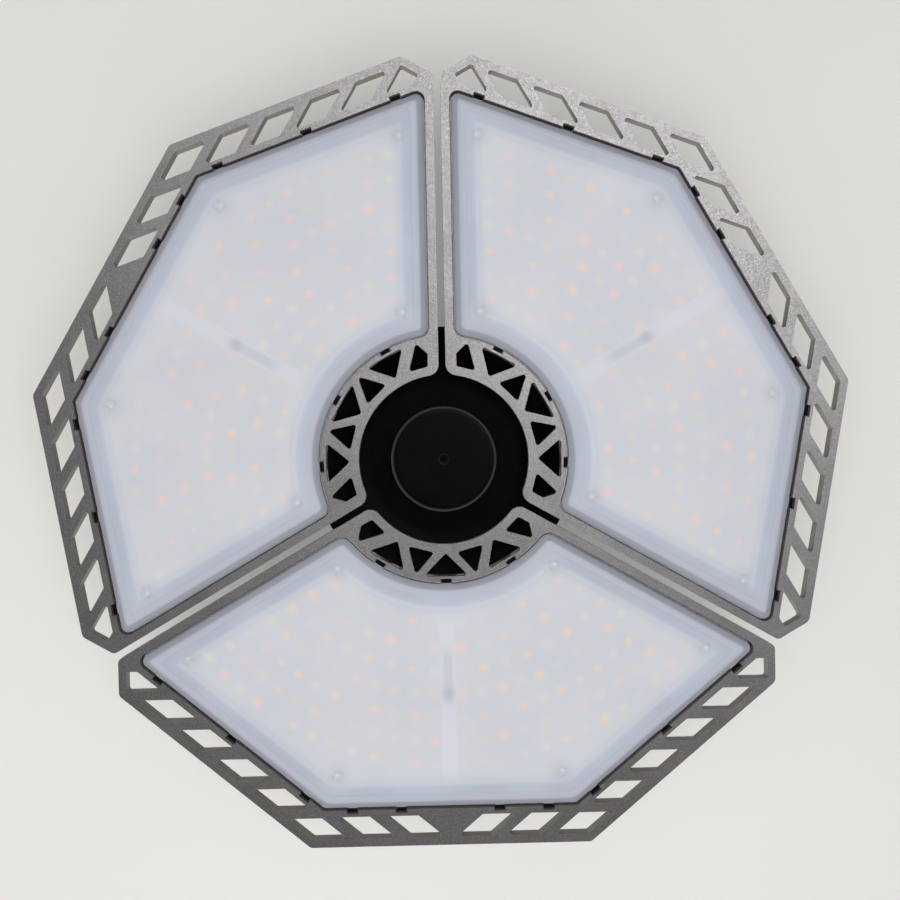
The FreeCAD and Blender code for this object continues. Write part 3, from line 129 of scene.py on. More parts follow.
class Pattern:
    """A number that varies over a surface, so that finishes read as plain arithmetic."""

    def __init__(self, finish, socket):
        self.finish = finish
        self.socket = socket

    def worked(self, operation, *others):
        node = self.finish.add("ShaderNodeMath", operation=operation)
        for place, value in zip(node.inputs, (self,) + others):
            self.finish.feed(place, value)
        return Pattern(self.finish, node.outputs[0])

    def __add__(self, other):
        return self.worked("ADD", other)

    __radd__ = __add__

    def __mul__(self, other):
        return self.worked("MULTIPLY", other)

    __rmul__ = __mul__

    def __sub__(self, other):
        return self.worked("SUBTRACT", other)

    def __rsub__(self, other):
        return (self * -1.0) + other

    def __truediv__(self, other):
        return self.worked("DIVIDE", other)

    def __rtruediv__(self, other):
        return self.worked("POWER", -1.0) * other

    def __mod__(self, other):
        return self.worked("FLOORED_MODULO", other)

    def __abs__(self):
        return self.worked("ABSOLUTE")

    def at_least(self, other):
        return self.worked("MAXIMUM", other)

    def at_most(self, other):
        return self.worked("MINIMUM", other)

    def rounded(self):
        return self.worked("ROUND")

    def floored(self):
        return self.worked("FLOOR")

    def root(self):
        return self.worked("SQRT")

    def sine(self):
        return self.worked("SINE")

    def cosine(self):
        return self.worked("COSINE")

    def rises(self, low, high):
        """0 up to low, 1 from high on, and smooth between them."""
        node = self.finish.add("ShaderNodeMapRange", interpolation_type="SMOOTHSTEP")
        self.finish.feed(node.inputs["Value"], self)
        node.inputs["From Min"].default_value = low
        node.inputs["From Max"].default_value = high
        return Pattern(self.finish, node.outputs["Result"])

    def falls(self, low, high):
        return 1.0 - self.rises(low, high)

    def near(self, middle, reach):
        """1 at the middle value and 0 from reach away on."""
        return abs(self - middle).falls(0.0, reach)


def distance(one, other):
    """The length of the way that two distances at right angles make."""
    return (one * one + other * other).root()


class Finish:
    """One material, with the nodes that its look is made of."""

    def __init__(self, name, **values):
        self.material = bpy.data.materials.new(name)
        self.material.use_nodes = True
        self.tree = self.material.node_tree
        self.shader = self.tree.nodes["Principled BSDF"]
        for socket, value in values.items():
            self.shader.inputs[socket.replace("_", " ")].default_value = value
        coordinates = self.add("ShaderNodeTexCoord")
        scaled = self.add("ShaderNodeVectorMath", operation="SCALE")
        self.tree.links.new(coordinates.outputs["Object"], scaled.inputs[0])
        scaled.inputs["Scale"].default_value = 1.0 / MM
        self.place = scaled.outputs[0]

    def add(self, kind, **settings):
        node = self.tree.nodes.new(kind)
        for setting, value in settings.items():
            setattr(node, setting, value)
        return node

    def feed(self, socket, value):
        """Sets a socket to a number or colour, or links a pattern or another socket to it."""
        if isinstance(value, Pattern):
            self.tree.links.new(value.socket, socket)
        elif isinstance(value, bpy.types.NodeSocket):
            self.tree.links.new(value, socket)
        else:
            socket.default_value = value

    def axes(self):
        """The place on the piece in millimetres, as three patterns."""
        node = self.add("ShaderNodeSeparateXYZ")
        self.tree.links.new(self.place, node.inputs[0])
        return [Pattern(self, output) for output in node.outputs]

    def facing(self):
        """1 where the surface faces along the lamp's axis, 0 on walls beside it."""
        coordinates = self.add("ShaderNodeTexCoord")
        node = self.add("ShaderNodeSeparateXYZ")
        self.tree.links.new(coordinates.outputs["Normal"], node.inputs[0])
        return abs(Pattern(self, node.outputs[2]))

    def stretched(self, x, y, z):
        """The place on the piece with each axis stretched, for grain that runs one way."""
        node = self.add("ShaderNodeVectorMath", operation="MULTIPLY")
        self.tree.links.new(self.place, node.inputs[0])
        node.inputs[1].default_value = (1.0 / x, 1.0 / y, 1.0 / z)
        return node.outputs[0]

    def noise(self, spread, detail=2.0, rough=0.5, place=None, twist=0.0):
        """Soft noise with patches about as wide as spread, in millimetres."""
        node = self.add("ShaderNodeTexNoise")
        self.tree.links.new(place or self.place, node.inputs["Vector"])
        node.inputs["Scale"].default_value = 1.0 / spread
        node.inputs["Detail"].default_value = detail
        node.inputs["Roughness"].default_value = rough
        node.inputs["Distortion"].default_value = twist
        return Pattern(self, node.outputs["Fac"])

    def grains(self, spread, output="Distance"):
        """Cells about as wide as spread, in millimetres."""
        node = self.add("ShaderNodeTexVoronoi")
        self.tree.links.new(self.place, node.inputs["Vector"])
        node.inputs["Scale"].default_value = 1.0 / spread
        return Pattern(self, node.outputs[output])

    def chance(self, first, second):
        """A random number from 0 to 1 for each pair of whole numbers."""
        pair = self.add("ShaderNodeCombineXYZ")
        self.feed(pair.inputs[0], first)
        self.feed(pair.inputs[1], second)
        node = self.add("ShaderNodeTexWhiteNoise", noise_dimensions="2D")
        self.tree.links.new(pair.outputs[0], node.inputs["Vector"])
        return Pattern(self, node.outputs["Value"])

    def blend(self, share, first, second):
        """The first colour where share is 0 and the second where it is 1."""
        node = self.add("ShaderNodeMix", data_type="RGBA")
        self.feed(node.inputs[0], share)
        self.feed(node.inputs[6], first)
        self.feed(node.inputs[7], second)
        return node.outputs[2]

    def relief(self, height, depth, strength=1.0, under=None):
        """A bump whose full height is depth, in millimetres."""
        node = self.add("ShaderNodeBump")
        node.inputs["Strength"].default_value = strength
        node.inputs["Distance"].default_value = depth * MM
        self.feed(node.inputs["Height"], height)
        if under:
            self.tree.links.new(under, node.inputs["Normal"])
        return node.outputs[0]

    def wear(self, colour=None, roughness=None, normal=None):
        """Links what was worked out to the shader."""
        if colour is not None:
            self.feed(self.shader.inputs["Base Color"], colour)
        if roughness is not None:
            self.feed(self.shader.inputs["Roughness"], roughness)
        if normal is not None:
            self.feed(self.shader.inputs["Normal"], normal)
        return self.material


def silver_casting():
    """Die-cast aluminium under silver paint: sparkling flakes, a painted highlight along the
    edges, and walls painted in a brownish shade and reflection, less metallic and rougher.
    """
    finish = Finish("silver_casting_paint", Specular_IOR_Level=0.5)
    flakes = finish.grains(0.5, "Color").rises(0.05, 0.95)
    specks = finish.noise(0.42, 2.0, 0.6).rises(0.42, 0.66)
    clouds = finish.noise(16.0, 3.0, 0.55)
    grime = finish.noise(3.4, 4.0, 0.62, twist=0.4)
    colour = finish.blend(clouds.rises(0.3, 0.7), tint(90, 87, 88), tint(99, 97, 99))
    colour = finish.blend(specks * 0.28, colour, tint(168, 169, 174))
    colour = finish.blend(flakes * 0.25, colour, tint(88, 88, 91))
    colour = finish.blend(grime.rises(0.58, 0.78) * 0.25, colour, tint(83, 79, 76))
    facing = finish.facing()
    # a painted highlight along the edges, where the face turns into the walls; they are less
    # metallic there too
    edge = facing.rises(0.2, 0.45) * facing.falls(0.94, 0.992)
    colour = finish.blend(edge * 0.85, colour, tint(228, 228, 231))
    # the walls beside the face are painted a brownish grey as painted shade and reflection, and
    # are less metallic and rougher
    walls_in_painted_shade = facing.falls(0.12, 0.4)
    colour = finish.blend(walls_in_painted_shade, colour, tint(136, 127, 119))
    finish.feed(finish.shader.inputs["Metallic"], 0.9 - (edge + walls_in_painted_shade).at_most(1.0) * 0.6)
    roughness = 0.29 + flakes * 0.12 + clouds * 0.05 + walls_in_painted_shade * 0.14
    peel = finish.noise(0.45, 3.0, 0.6)
    normal = finish.relief(peel + flakes * 0.8, 0.03, 0.6)
    return finish.wear(colour, roughness, normal)


def frosted_cover():
    """Frosted plastic over the lit board: the moulded step round its edge, with its light and
    shade painted on, the hooks in painted shade, the margin, the board's centre strip, its
    screws, and the warm and cool chips that show through."""
    finish = Finish("frosted_cover_plastic", Specular_IOR_Level=0.15)
    x, y, _ = finish.axes()
    radius = distance(x, y)
    angle = y.worked("ARCTAN2", x)
    third = math.radians(PANEL_SHARE)
    first = math.radians(FIRST_PANEL)
    seam_angle = third / 2.0
    turned = (angle + (seam_angle - first)) % third - seam_angle
    off_middle = abs(turned)
    out = radius * off_middle.cosine()
    aside = radius * off_middle.sine()

    def nearer(one, other):
        """The smaller of two distances, with the corner between their sides rounded."""
        return one.worked("SMOOTH_MIN", other, CORNER_SOFTNESS)

    # how far in a place is from the seam, the middle side, the end side and the hub's arc
    seam = out * math.sin(seam_angle) - aside * math.cos(seam_angle) - SEAM_EDGE
    middle = SIDE_APOTHEM - out
    end = (SIDE_APOTHEM - out * math.cos(math.radians(END_SIDE))
           - aside * math.sin(math.radians(END_SIDE)))
    arc = radius - HUB_ARC
    inset = nearer(nearer(nearer(seam, middle), end), arc)

    # the board behind the middle, the margin round it and the moulded step, whose light and
    # shade are painted on
    haze = finish.noise(26.0, 2.0, 0.5)
    board = finish.blend(haze.rises(0.3, 0.7), tint(203, 206, 213), tint(208, 210, 216))
    margin = finish.blend(haze.rises(0.35, 0.65), tint(178, 185, 199), tint(185, 192, 206))
    colour = finish.blend(inset.rises(7.0, 13.0), margin, board)
    # painted highlight: lighter bands inside the margin and along the hub's arc
    painted_highlight_bands = inset.near(9.6, 1.6) + arc.rises(5.0, 9.0) * arc.falls(9.4, 12.5) * 0.6
    colour = finish.blend((painted_highlight_bands * 0.4).at_most(1.0), colour, tint(206, 211, 221))
    # painted shade on the ledge, lighter than the slope's
    ledge = inset.rises(2.3, 3.0) * inset.falls(4.4, 5.4)
    colour = finish.blend(ledge * 0.85, colour, tint(188, 191, 203))
    # painted shade: a darker line in the crease between the ledge and the top
    painted_crease_shade = inset.near(5.3, 0.8) * arc.rises(5.6, 8.0)
    colour = finish.blend(painted_crease_shade * 0.4, colour, tint(170, 177, 188))
    # painted shade on the steep slope, the same on every side
    slope = inset.falls(1.9, 2.9)
    colour = finish.blend(slope, colour, tint(160, 163, 175))
    # a painted highlight along the rim's very edge
    colour = finish.blend(inset.falls(0.0, 0.5) * 0.45, colour, tint(182, 185, 194))
    # the hooks in their notches are painted near black as painted shade, and made rough
    hooks_in_painted_shade = inset.falls(-0.35, -0.1)
    colour = finish.blend(hooks_in_painted_shade, colour, tint(9, 9, 11))

    # the lamp chips, each a soft spot of its own strength
    row = ((radius - FIRST_CHIP_ARC) / CHIP_ARC_PITCH).rounded().at_least(0.0)
    row = row.at_most(LAST_CHIP_ARC)
    arc_radius = row * CHIP_ARC_PITCH + FIRST_CHIP_ARC
    start = CHIP_STRIP / arc_radius
    stop = seam_angle - (CHIP_SEAM_MARGIN / arc_radius).worked("ARCSINE")
    count = ((stop - start) * arc_radius / CHIP_PITCH).floored().at_least(1.0)
    pitch = (stop - start) / count
    number = ((off_middle - start) / pitch).rounded().at_least(0.0).at_most(count)
    along = (off_middle - start - number * pitch) * radius
    across = radius - arc_radius
    away = (along * along * 0.72 + across * across).root()

    # each chip's random numbers hang on its arc, its place on it, its half and its panel
    half = turned.worked("SIGN")
    panel = ((angle + (seam_angle - first)) / third).floored()
    key = number * 2.0 + half + panel * 61.0
    size = finish.chance(row * 3.0 + 23.0, key + 5.0)
    spot = (away / (0.72 + size * 0.42)).falls(0.0, 3.3)
    luck = finish.chance(row * 7.0 + 3.0, key)
    other_luck = finish.chance(row * 5.0 + 11.0, key + 17.0)
    warm = ((number + row) % 2.0).rises(0.2, 0.8)
    pink = finish.blend(other_luck.rises(0.25, 0.85), tint(240, 203, 198), tint(240, 210, 186))
    pale = finish.blend(other_luck.rises(0.2, 0.9), tint(208, 211, 202), tint(220, 219, 208))
    chip = finish.blend(warm, pale, pink)
    strength = spot * (0.26 + luck * 0.54) * (1.0 - warm * 0.08)
    colour = finish.blend(strength, colour, chip)

    # the bare strip down the middle of the board, with the ridge and the solder spot on it
    strip = aside.falls(2.2, 4.0) * radius.rises(59.0, 66.0) * middle.rises(8.0, 16.0)
    strip = strip * (0.55 + haze * 0.7)
    colour = finish.blend(strip * 0.45, colour, tint(218, 219, 229))
    bar = aside.falls(0.8, 2.8) * radius.rises(72.0, 80.0) * radius.falls(90.0, 100.0)
    colour = finish.blend(bar * 0.42, colour, tint(180, 185, 192))
    blob = distance(radius - SOLDER_SPOT, aside).falls(0.4, 4.2)
    colour = finish.blend(blob * 0.4, colour, tint(164, 167, 174))

    # the board's screws, three on each side of the middle
    worn = finish.noise(1.7, 2.0)
    for place in board_screw_places():
        far = out - place[0]
        beside = aside - place[1]
        screw = distance(far, beside)
        colour = finish.blend(screw.falls(1.0, 7.5) * 0.4, colour, tint(180, 186, 196))
        ring = screw.near(1.9, 1.3) * worn.rises(0.35, 0.65)
        colour = finish.blend(ring * 0.32, colour, tint(158, 164, 175))
        glint = distance(far + 0.5, beside - 0.3)
        colour = finish.blend(glint.falls(0.1, 1.1) * 0.55, colour, tint(222, 226, 232))

    grain = finish.noise(0.35, 3.0, 0.6)
    smears = finish.noise(11.0, 3.0, 0.6, place=finish.stretched(1.0, 2.6, 1.0))
    roughness = 0.36 + grain * 0.08 + smears.rises(0.4, 0.75) * 0.08 + hooks_in_painted_shade * 0.5
    return finish.wear(colour, roughness, finish.relief(grain, 0.006, 0.35))


def board_screw_places():
    """Where the first panel's board screws are, along its middle line and beside it."""
    mesh = nodes["panel_1_board_screws"].data
    turn = math.radians(-FIRST_PANEL)
    heads = []
    for corner in mesh.vertices:
        out = (corner.co.x * math.cos(turn) - corner.co.y * math.sin(turn)) / MM
        aside = (corner.co.x * math.sin(turn) + corner.co.y * math.cos(turn)) / MM
        if aside < 0.0:
            continue
        for head in heads:
            first_out, first_aside = head[0]
            if abs(first_out - out) < SCREW_HEAD and abs(first_aside - aside) < SCREW_HEAD:
                head.append((out, aside))
                break
        else:
            heads.append([(out, aside)])
    middles = []
    for head in heads:
        middles.append([(min(values) + max(values)) / 2.0 for values in zip(*head)])
    return middles


def white_board():
    """White solder mask on the lamp board."""
    finish = Finish("white_solder_mask", Specular_IOR_Level=0.5)
    clouds = finish.noise(9.0, 3.0)
    colour = finish.blend(clouds.rises(0.3, 0.7), tint(224, 226, 226), tint(233, 234, 233))
    weave = finish.noise(0.6, 2.0)
    return finish.wear(colour, 0.35 + clouds * 0.12, finish.relief(weave, 0.01, 0.4))


def phosphor():
    """The yellow gel in each lamp chip, with its pale body round it."""
    finish = Finish("phosphor_gel", Specular_IOR_Level=0.5)
    grain = finish.noise(0.25, 3.0)
    tone = finish.noise(9.0, 1.0)
    colour = finish.blend(tone.rises(0.45, 0.55), tint(244, 196, 92), tint(232, 150, 84))
    colour = finish.blend(grain.rises(0.4, 0.7) * 0.3, colour, tint(250, 226, 150))
    return finish.wear(colour, 0.3 + grain * 0.2, finish.relief(grain, 0.01, 0.4))


def black_casting():
    """Black powder coat with its fine orange peel, and dust that settled on it."""
    finish = Finish("black_powder_coat", Specular_IOR_Level=0.4)
    peel = finish.noise(0.7, 3.0, 0.55)
    patches = finish.noise(18.0, 4.0, 0.6)
    dust = finish.grains(1.9).falls(0.0, 0.09) * finish.noise(7.0, 2.0).rises(0.5, 0.7)
    colour = finish.blend(patches.rises(0.3, 0.75), tint(17, 17, 18), tint(25, 25, 26))
    colour = finish.blend(dust * 0.4, colour, tint(90, 88, 86))
    roughness = 0.34 + patches * 0.14
    return finish.wear(colour, roughness, finish.relief(peel, 0.03, 0.5))


def black_enamel():
    """Deep black enamel in the bowl, with a soft gloss and a little dust."""
    finish = Finish("black_bowl_enamel", Specular_IOR_Level=0.012)
    peel = finish.noise(0.9, 3.0, 0.55)
    patches = finish.noise(16.0, 4.0, 0.6)
    dust = finish.grains(2.3).falls(0.0, 0.08) * finish.noise(7.0, 2.0).rises(0.52, 0.7)
    colour = finish.blend(patches.rises(0.3, 0.75), tint(3, 2, 4), tint(8, 7, 9))
    colour = finish.blend(dust * 0.35, colour, tint(80, 78, 76))
    roughness = 0.26 + patches * 0.16
    return finish.wear(colour, roughness, finish.relief(peel, 0.02, 0.5))


def black_gloss():
    """Polished black plastic with faint hairline marks, a few specks of dust and a painted
    highlight round its rim.
    """
    finish = Finish("black_gloss_plastic", Specular_IOR_Level=0.02)
    smears = finish.noise(9.0, 4.0, 0.65, twist=0.8)
    hairs = finish.noise(1.0, 2.0, 0.5, place=finish.stretched(6.0, 0.3, 1.0))
    dust = finish.grains(2.6).falls(0.0, 0.06) * finish.noise(6.0, 2.0).rises(0.52, 0.7)
    x, y, _ = finish.axes()
    gate = distance(x, y)
    colour = finish.blend(smears.rises(0.35, 0.7), tint(3, 3, 4), tint(6, 6, 7))
    colour = finish.blend(dust * 0.5, colour, tint(110, 108, 104))
    colour = finish.blend(gate.near(1.9, 0.5) * 0.5, colour, tint(40, 40, 42))
    # a painted highlight round the rounded rim, where the surface turns away from the axis
    rim = finish.facing().falls(0.6, 0.99) * gate.rises(17.0, 19.0)
    colour = finish.blend(rim * 0.75, colour, tint(84, 84, 88))
    roughness = 0.14 + smears * 0.12 + hairs.rises(0.6, 0.8) * 0.06
    under = finish.relief(gate.rises(1.2, 2.1), 0.35, 1.0)
    return finish.wear(colour, roughness, finish.relief(hairs, 0.004, 0.3, under))


def black_plastic():
    """Moulded black plastic with a fine spark-eroded grain."""
    finish = Finish("black_moulded_plastic", Specular_IOR_Level=0.45)
    grain = finish.noise(0.45, 4.0, 0.65)
    patches = finish.noise(20.0, 3.0, 0.55)
    scuffs = finish.noise(2.2, 4.0, 0.7, place=finish.stretched(3.5, 1.0, 1.0))
    colour = finish.blend(patches.rises(0.3, 0.7), tint(27, 27, 28), tint(35, 35, 36))
    colour = finish.blend(scuffs.rises(0.66, 0.8) * 0.3, colour, tint(66, 65, 64))
    roughness = 0.46 + grain * 0.14
    return finish.wear(colour, roughness, finish.relief(grain, 0.03, 0.5))


def black_screw():
    """Black oxide on screws, rubbed to bare metal in places."""
    finish = Finish("black_oxide_screw", Metallic=0.7, Specular_IOR_Level=0.5)
    rub = finish.noise(0.9, 4.0, 0.65)
    colour = finish.blend(rub.rises(0.55, 0.75) * 0.6, tint(52, 52, 54), tint(120, 118, 114))
    return finish.wear(colour, 0.32 + rub * 0.2, finish.relief(rub, 0.01, 0.4))


def zinc_steel():
    """Bright zinc plate on the hinge screws, nuts and washers."""
    finish = Finish("zinc_plated_steel", Metallic=1.0)
    spangle = finish.grains(1.6, "Color")
    turned = finish.noise(0.3, 2.0, 0.5, place=finish.stretched(1.0, 1.0, 0.2))
    colour = finish.blend(spangle.rises(0.1, 0.9), tint(186, 187, 184), tint(206, 206, 202))
    return finish.wear(colour, 0.24 + turned * 0.16, finish.relief(turned, 0.006, 0.4))


def nickel_shell():
    """Nickel plate on the rolled screw shell, with light rubbing along the thread."""
    finish = Finish("nickel_plated_shell", Metallic=1.0)
    rolled = finish.noise(0.6, 3.0, 0.6, place=finish.stretched(1.0, 1.0, 0.22))
    tarnish = finish.noise(5.0, 4.0, 0.65)
    colour = finish.blend(tarnish.rises(0.35, 0.7), tint(214, 209, 198), tint(188, 181, 166))
    roughness = 0.2 + rolled * 0.12 + tarnish.rises(0.5, 0.75) * 0.12
    return finish.wear(colour, roughness, finish.relief(rolled, 0.008, 0.4))


def black_insulator():
    """Black glass insulator at the tip of the screw base."""
    finish = Finish("black_glass_insulator", Specular_IOR_Level=0.6)
    swirl = finish.noise(2.4, 4.0, 0.6, twist=1.2)
    colour = finish.blend(swirl.rises(0.35, 0.7), tint(13, 12, 14), tint(28, 26, 30))
    return finish.wear(colour, 0.12 + swirl * 0.14, finish.relief(swirl, 0.03, 0.3))


def brass_contact():
    """Tinned brass contact, worn to brass where it touches the holder."""
    finish = Finish("brass_contact_metal", Metallic=1.0)
    wear = finish.noise(1.4, 4.0, 0.65)
    colour = finish.blend(wear.rises(0.4, 0.62), tint(198, 192, 178), tint(196, 164, 98))
    return finish.wear(colour, 0.24 + wear * 0.2, finish.relief(wear, 0.012, 0.5))


def black_rubber():
    """Soft black rubber rings for the leads."""
    finish = Finish("black_rubber_ring", Specular_IOR_Level=0.3)
    bloom = finish.noise(1.6, 4.0, 0.6)
    colour = finish.blend(bloom.rises(0.35, 0.7), tint(24, 24, 24), tint(40, 40, 40))
    return finish.wear(colour, 0.66 + bloom * 0.14, finish.relief(bloom, 0.02, 0.4))


def green_laminate():
    """Green solder mask over copper tracks on the driver board."""
    finish = Finish("green_board_laminate", Specular_IOR_Level=0.5)
    x, _, _ = finish.axes()
    tracks = ((x + finish.noise(7.0, 1.0) * 9.0) / 2.1 % 1.0).near(0.5, 0.28)
    weave = finish.noise(0.5, 2.0)
    colour = finish.blend(weave, tint(22, 78, 44), tint(30, 92, 52))
    colour = finish.blend(tracks * 0.45, colour, tint(58, 128, 70))
    return finish.wear(colour, 0.28 + weave * 0.1, finish.relief(tracks, 0.04, 0.4))


def ferrite():
    """Dull sintered ferrite."""
    finish = Finish("sintered_ferrite", Specular_IOR_Level=0.35)
    pores = finish.noise(0.4, 4.0, 0.7)
    colour = finish.blend(pores.rises(0.35, 0.7), tint(58, 57, 58), tint(84, 82, 82))
    return finish.wear(colour, 0.62 + pores * 0.16, finish.relief(pores, 0.04, 0.5))


def yellow_tape():
    """Layers of yellow tape round the transformer's coil."""
    finish = Finish("yellow_winding_tape", Specular_IOR_Level=0.5)
    _, _, z = finish.axes()
    laps = (z / 2.6 % 1.0).near(0.0, 0.08)
    creases = finish.noise(2.4, 3.0, 0.6, place=finish.stretched(1.0, 1.0, 3.0))
    colour = finish.blend(creases.rises(0.3, 0.7), tint(214, 180, 58), tint(230, 200, 84))
    colour = finish.blend(laps * 0.5, colour, tint(160, 128, 34))
    return finish.wear(colour, 0.3 + creases * 0.16, finish.relief(creases, 0.06, 0.5))


def capacitor_sleeve():
    """Shrunk dark sleeve with a pale polarity stripe."""
    finish = Finish("capacitor_shrink_sleeve", Specular_IOR_Level=0.5)
    _, y, z = finish.axes()
    folds = finish.noise(1.6, 3.0, 0.6, place=finish.stretched(1.0, 1.0, 4.0))
    colour = finish.blend(folds.rises(0.3, 0.7), tint(26, 30, 44), tint(40, 46, 64))
    stripe = y.falls(-9.6, -8.8) * z.near(-38.0, 9.0)
    colour = finish.blend(stripe * 0.5, colour, tint(150, 152, 158))
    return finish.wear(colour, 0.28 + folds * 0.14, finish.relief(folds, 0.04, 0.5))


def copper_winding():
    """Enamelled copper wire round the choke."""
    finish = Finish("enamelled_copper_wire", Metallic=0.9)
    x, y, _ = finish.axes()
    turns = ((x + y * 0.4) / 0.9 % 1.0).near(0.5, 0.5)
    shade = finish.noise(2.0, 3.0)
    colour = finish.blend(shade.rises(0.3, 0.7), tint(176, 96, 52), tint(200, 120, 66))
    return finish.wear(colour, 0.28 + shade * 0.14, finish.relief(turns, 0.2, 0.6))


def chip_package():
    """Dull moulded epoxy of the driver's chips."""
    finish = Finish("chip_package_epoxy", Specular_IOR_Level=0.4)
    grain = finish.noise(0.3, 3.0, 0.6)
    colour = finish.blend(grain.rises(0.35, 0.7), tint(30, 30, 32), tint(46, 46, 48))
    return finish.wear(colour, 0.52 + grain * 0.14, finish.relief(grain, 0.02, 0.4))


def background_rays(finish):
    """1 for the rays that see the background: from the camera, in a gloss or through glass."""
    rays = finish.add("ShaderNodeLightPath")
    seen = Pattern(finish, rays.outputs["Is Camera Ray"])
    for kind in ("Is Glossy Ray", "Is Transmission Ray"):
        seen = seen.at_least(Pattern(finish, rays.outputs[kind]))
    return seen


def studio_floor():
    """The pale floor of the studio. Gloss also shows a soft bright card on it, which gives the
    upper castings their sheen."""
    finish = Finish("studio_floor_paint", Specular_IOR_Level=0.1, Roughness=0.8)
    clouds = finish.noise(420.0, 3.0, 0.5)
    colour = finish.blend(clouds.rises(0.3, 0.7), tint(226, 224, 220), tint(232, 230, 226))
    finish.shader.inputs["Emission Color"].default_value = tint(226, 225, 223)
    x, y, _ = finish.axes()
    away = distance(x - CARD[0], y - CARD[1])
    rays = finish.add("ShaderNodeLightPath")
    card = away.falls(CARD_CORE, CARD_EDGE) * Pattern(finish, rays.outputs["Is Glossy Ray"])
    glow = background_rays(finish) * FLOOR_GLOW + card * CARD_GLOW
    finish.feed(finish.shader.inputs["Emission Strength"], glow)
    return finish.wear(colour)


def studio_backdrop():
    """The pale board behind the lamp. It is seen from the lamp's side only, and lets the light
    from behind through, so that it doesn't shade the lamp."""
    finish = Finish("studio_backdrop_board", Specular_IOR_Level=0.1, Roughness=0.8)
    clouds = finish.noise(380.0, 3.0, 0.5)
    colour = finish.blend(clouds.rises(0.3, 0.7), tint(230, 228, 224), tint(236, 234, 230))
    finish.wear(colour)
    surface = finish.add("ShaderNodeNewGeometry")
    seen = background_rays(finish)
    front = seen * (1.0 - Pattern(finish, surface.outputs["Backfacing"]))
    finish.shader.inputs["Emission Color"].default_value = tint(228, 227, 225)
    finish.feed(finish.shader.inputs["Emission Strength"], seen * BACKDROP_GLOW)
    clear = finish.add("ShaderNodeBsdfTransparent")
    chosen = finish.add("ShaderNodeMixShader")
    output = finish.tree.nodes["Material Output"]
    finish.feed(chosen.inputs[0], front)
    finish.tree.links.new(clear.outputs[0], chosen.inputs[1])
    finish.tree.links.new(finish.shader.outputs[0], chosen.inputs[2])
    finish.tree.links.new(chosen.outputs[0], output.inputs["Surface"])
    return finish.material


def deselect():
    bpy.ops.object.select_all(action="DESELECT")


def activate(piece):
    deselect()
    piece.select_set(True)
    bpy.context.view_layer.objects.active = piece


def merged_copy(node, name):
    """A copy of a CAD node for reshaping, with its loose triangles merged into whole faces."""
    piece = bpy.data.objects.new(name, node.data.copy())
    piece.data.name = name
    bpy.context.scene.collection.objects.link(piece)
    activate(piece)
    bpy.ops.object.mode_set(mode="EDIT")
    bpy.ops.mesh.select_all(action="SELECT")
    bpy.ops.mesh.customdata_custom_splitnormals_clear()
    bpy.ops.mesh.remove_doubles(threshold=MERGE_REACH * MM)
    bpy.ops.mesh.dissolve_limited(angle_limit=math.radians(FLAT_ANGLE))
    bpy.ops.mesh.select_all(action="DESELECT")
    bpy.ops.object.mode_set(mode="OBJECT")
    return piece


def round_edges(piece, wanted, width):
    """Bevels the edges of a piece that wanted picks, to a width in millimetres."""
    activate(piece)
    bpy.ops.object.mode_set(mode="EDIT")
    bpy.ops.mesh.select_mode(type="EDGE")
    bpy.ops.mesh.select_all(action="DESELECT")
    shape = bmesh.from_edit_mesh(piece.data)
    for edge in shape.edges:
        if len(edge.link_faces) == 2 and wanted(edge):
            edge.select_set(True)
    bmesh.update_edit_mesh(piece.data)
    bpy.ops.mesh.bevel(offset=width * MM, segments=EDGE_STEPS, affect="EDGES",
                       clamp_overlap=True)
    bpy.ops.mesh.select_all(action="DESELECT")
    bpy.ops.object.mode_set(mode="OBJECT")


def bend(edge):
    """The angle between an edge's two faces, in degrees."""
    return math.degrees(edge.calc_face_angle(0.0))


def at_cover_rim(edge):
    """Whether an edge is a sharp one at the height of the cover's rim."""
    level = all(abs(end.co.z / MM - COVER_RIM) < LEVEL_SLACK for end in edge.verts)
    return level and bend(edge) > COVER_BEND


def on_casting_corner(edge):
    """Whether an edge is an outer corner of the casting."""
    return edge.is_convex and bend(edge) > CASTING_BEND


def raise_ledge(cover):
    """Turns the cover's plain slope into a steep step with a flat ledge beside it."""
    activate(cover)
    bpy.ops.object.mode_set(mode="EDIT")
    bpy.ops.mesh.select_mode(type="FACE")
    bpy.ops.mesh.select_all(action="DESELECT")
    shape = bmesh.from_edit_mesh(cover.data)
    for face in shape.faces:
        heights = [corner.co.z / MM for corner in face.verts]
        lowest, highest = min(heights), max(heights)
        sloped = SLOPE_FLATTEST < face.normal.z < SLOPE_STEEPEST
        within = COVER_TOP - LEVEL_SLACK < lowest and highest < COVER_RIM + LEVEL_SLACK
        if sloped and within:
            face.select_set(True)
    bmesh.update_edit_mesh(cover.data)
    middle = (COVER_TOP + COVER_RIM) / 2.0
    bpy.ops.mesh.bisect(plane_co=(0.0, 0.0, middle * MM), plane_no=(0.0, 0.0, 1.0))
    squeeze_slope(cover, COVER_TOP, middle, LEDGE)
    squeeze_slope(cover, COVER_RIM, middle, LEDGE)
    bpy.ops.object.mode_set(mode="OBJECT")


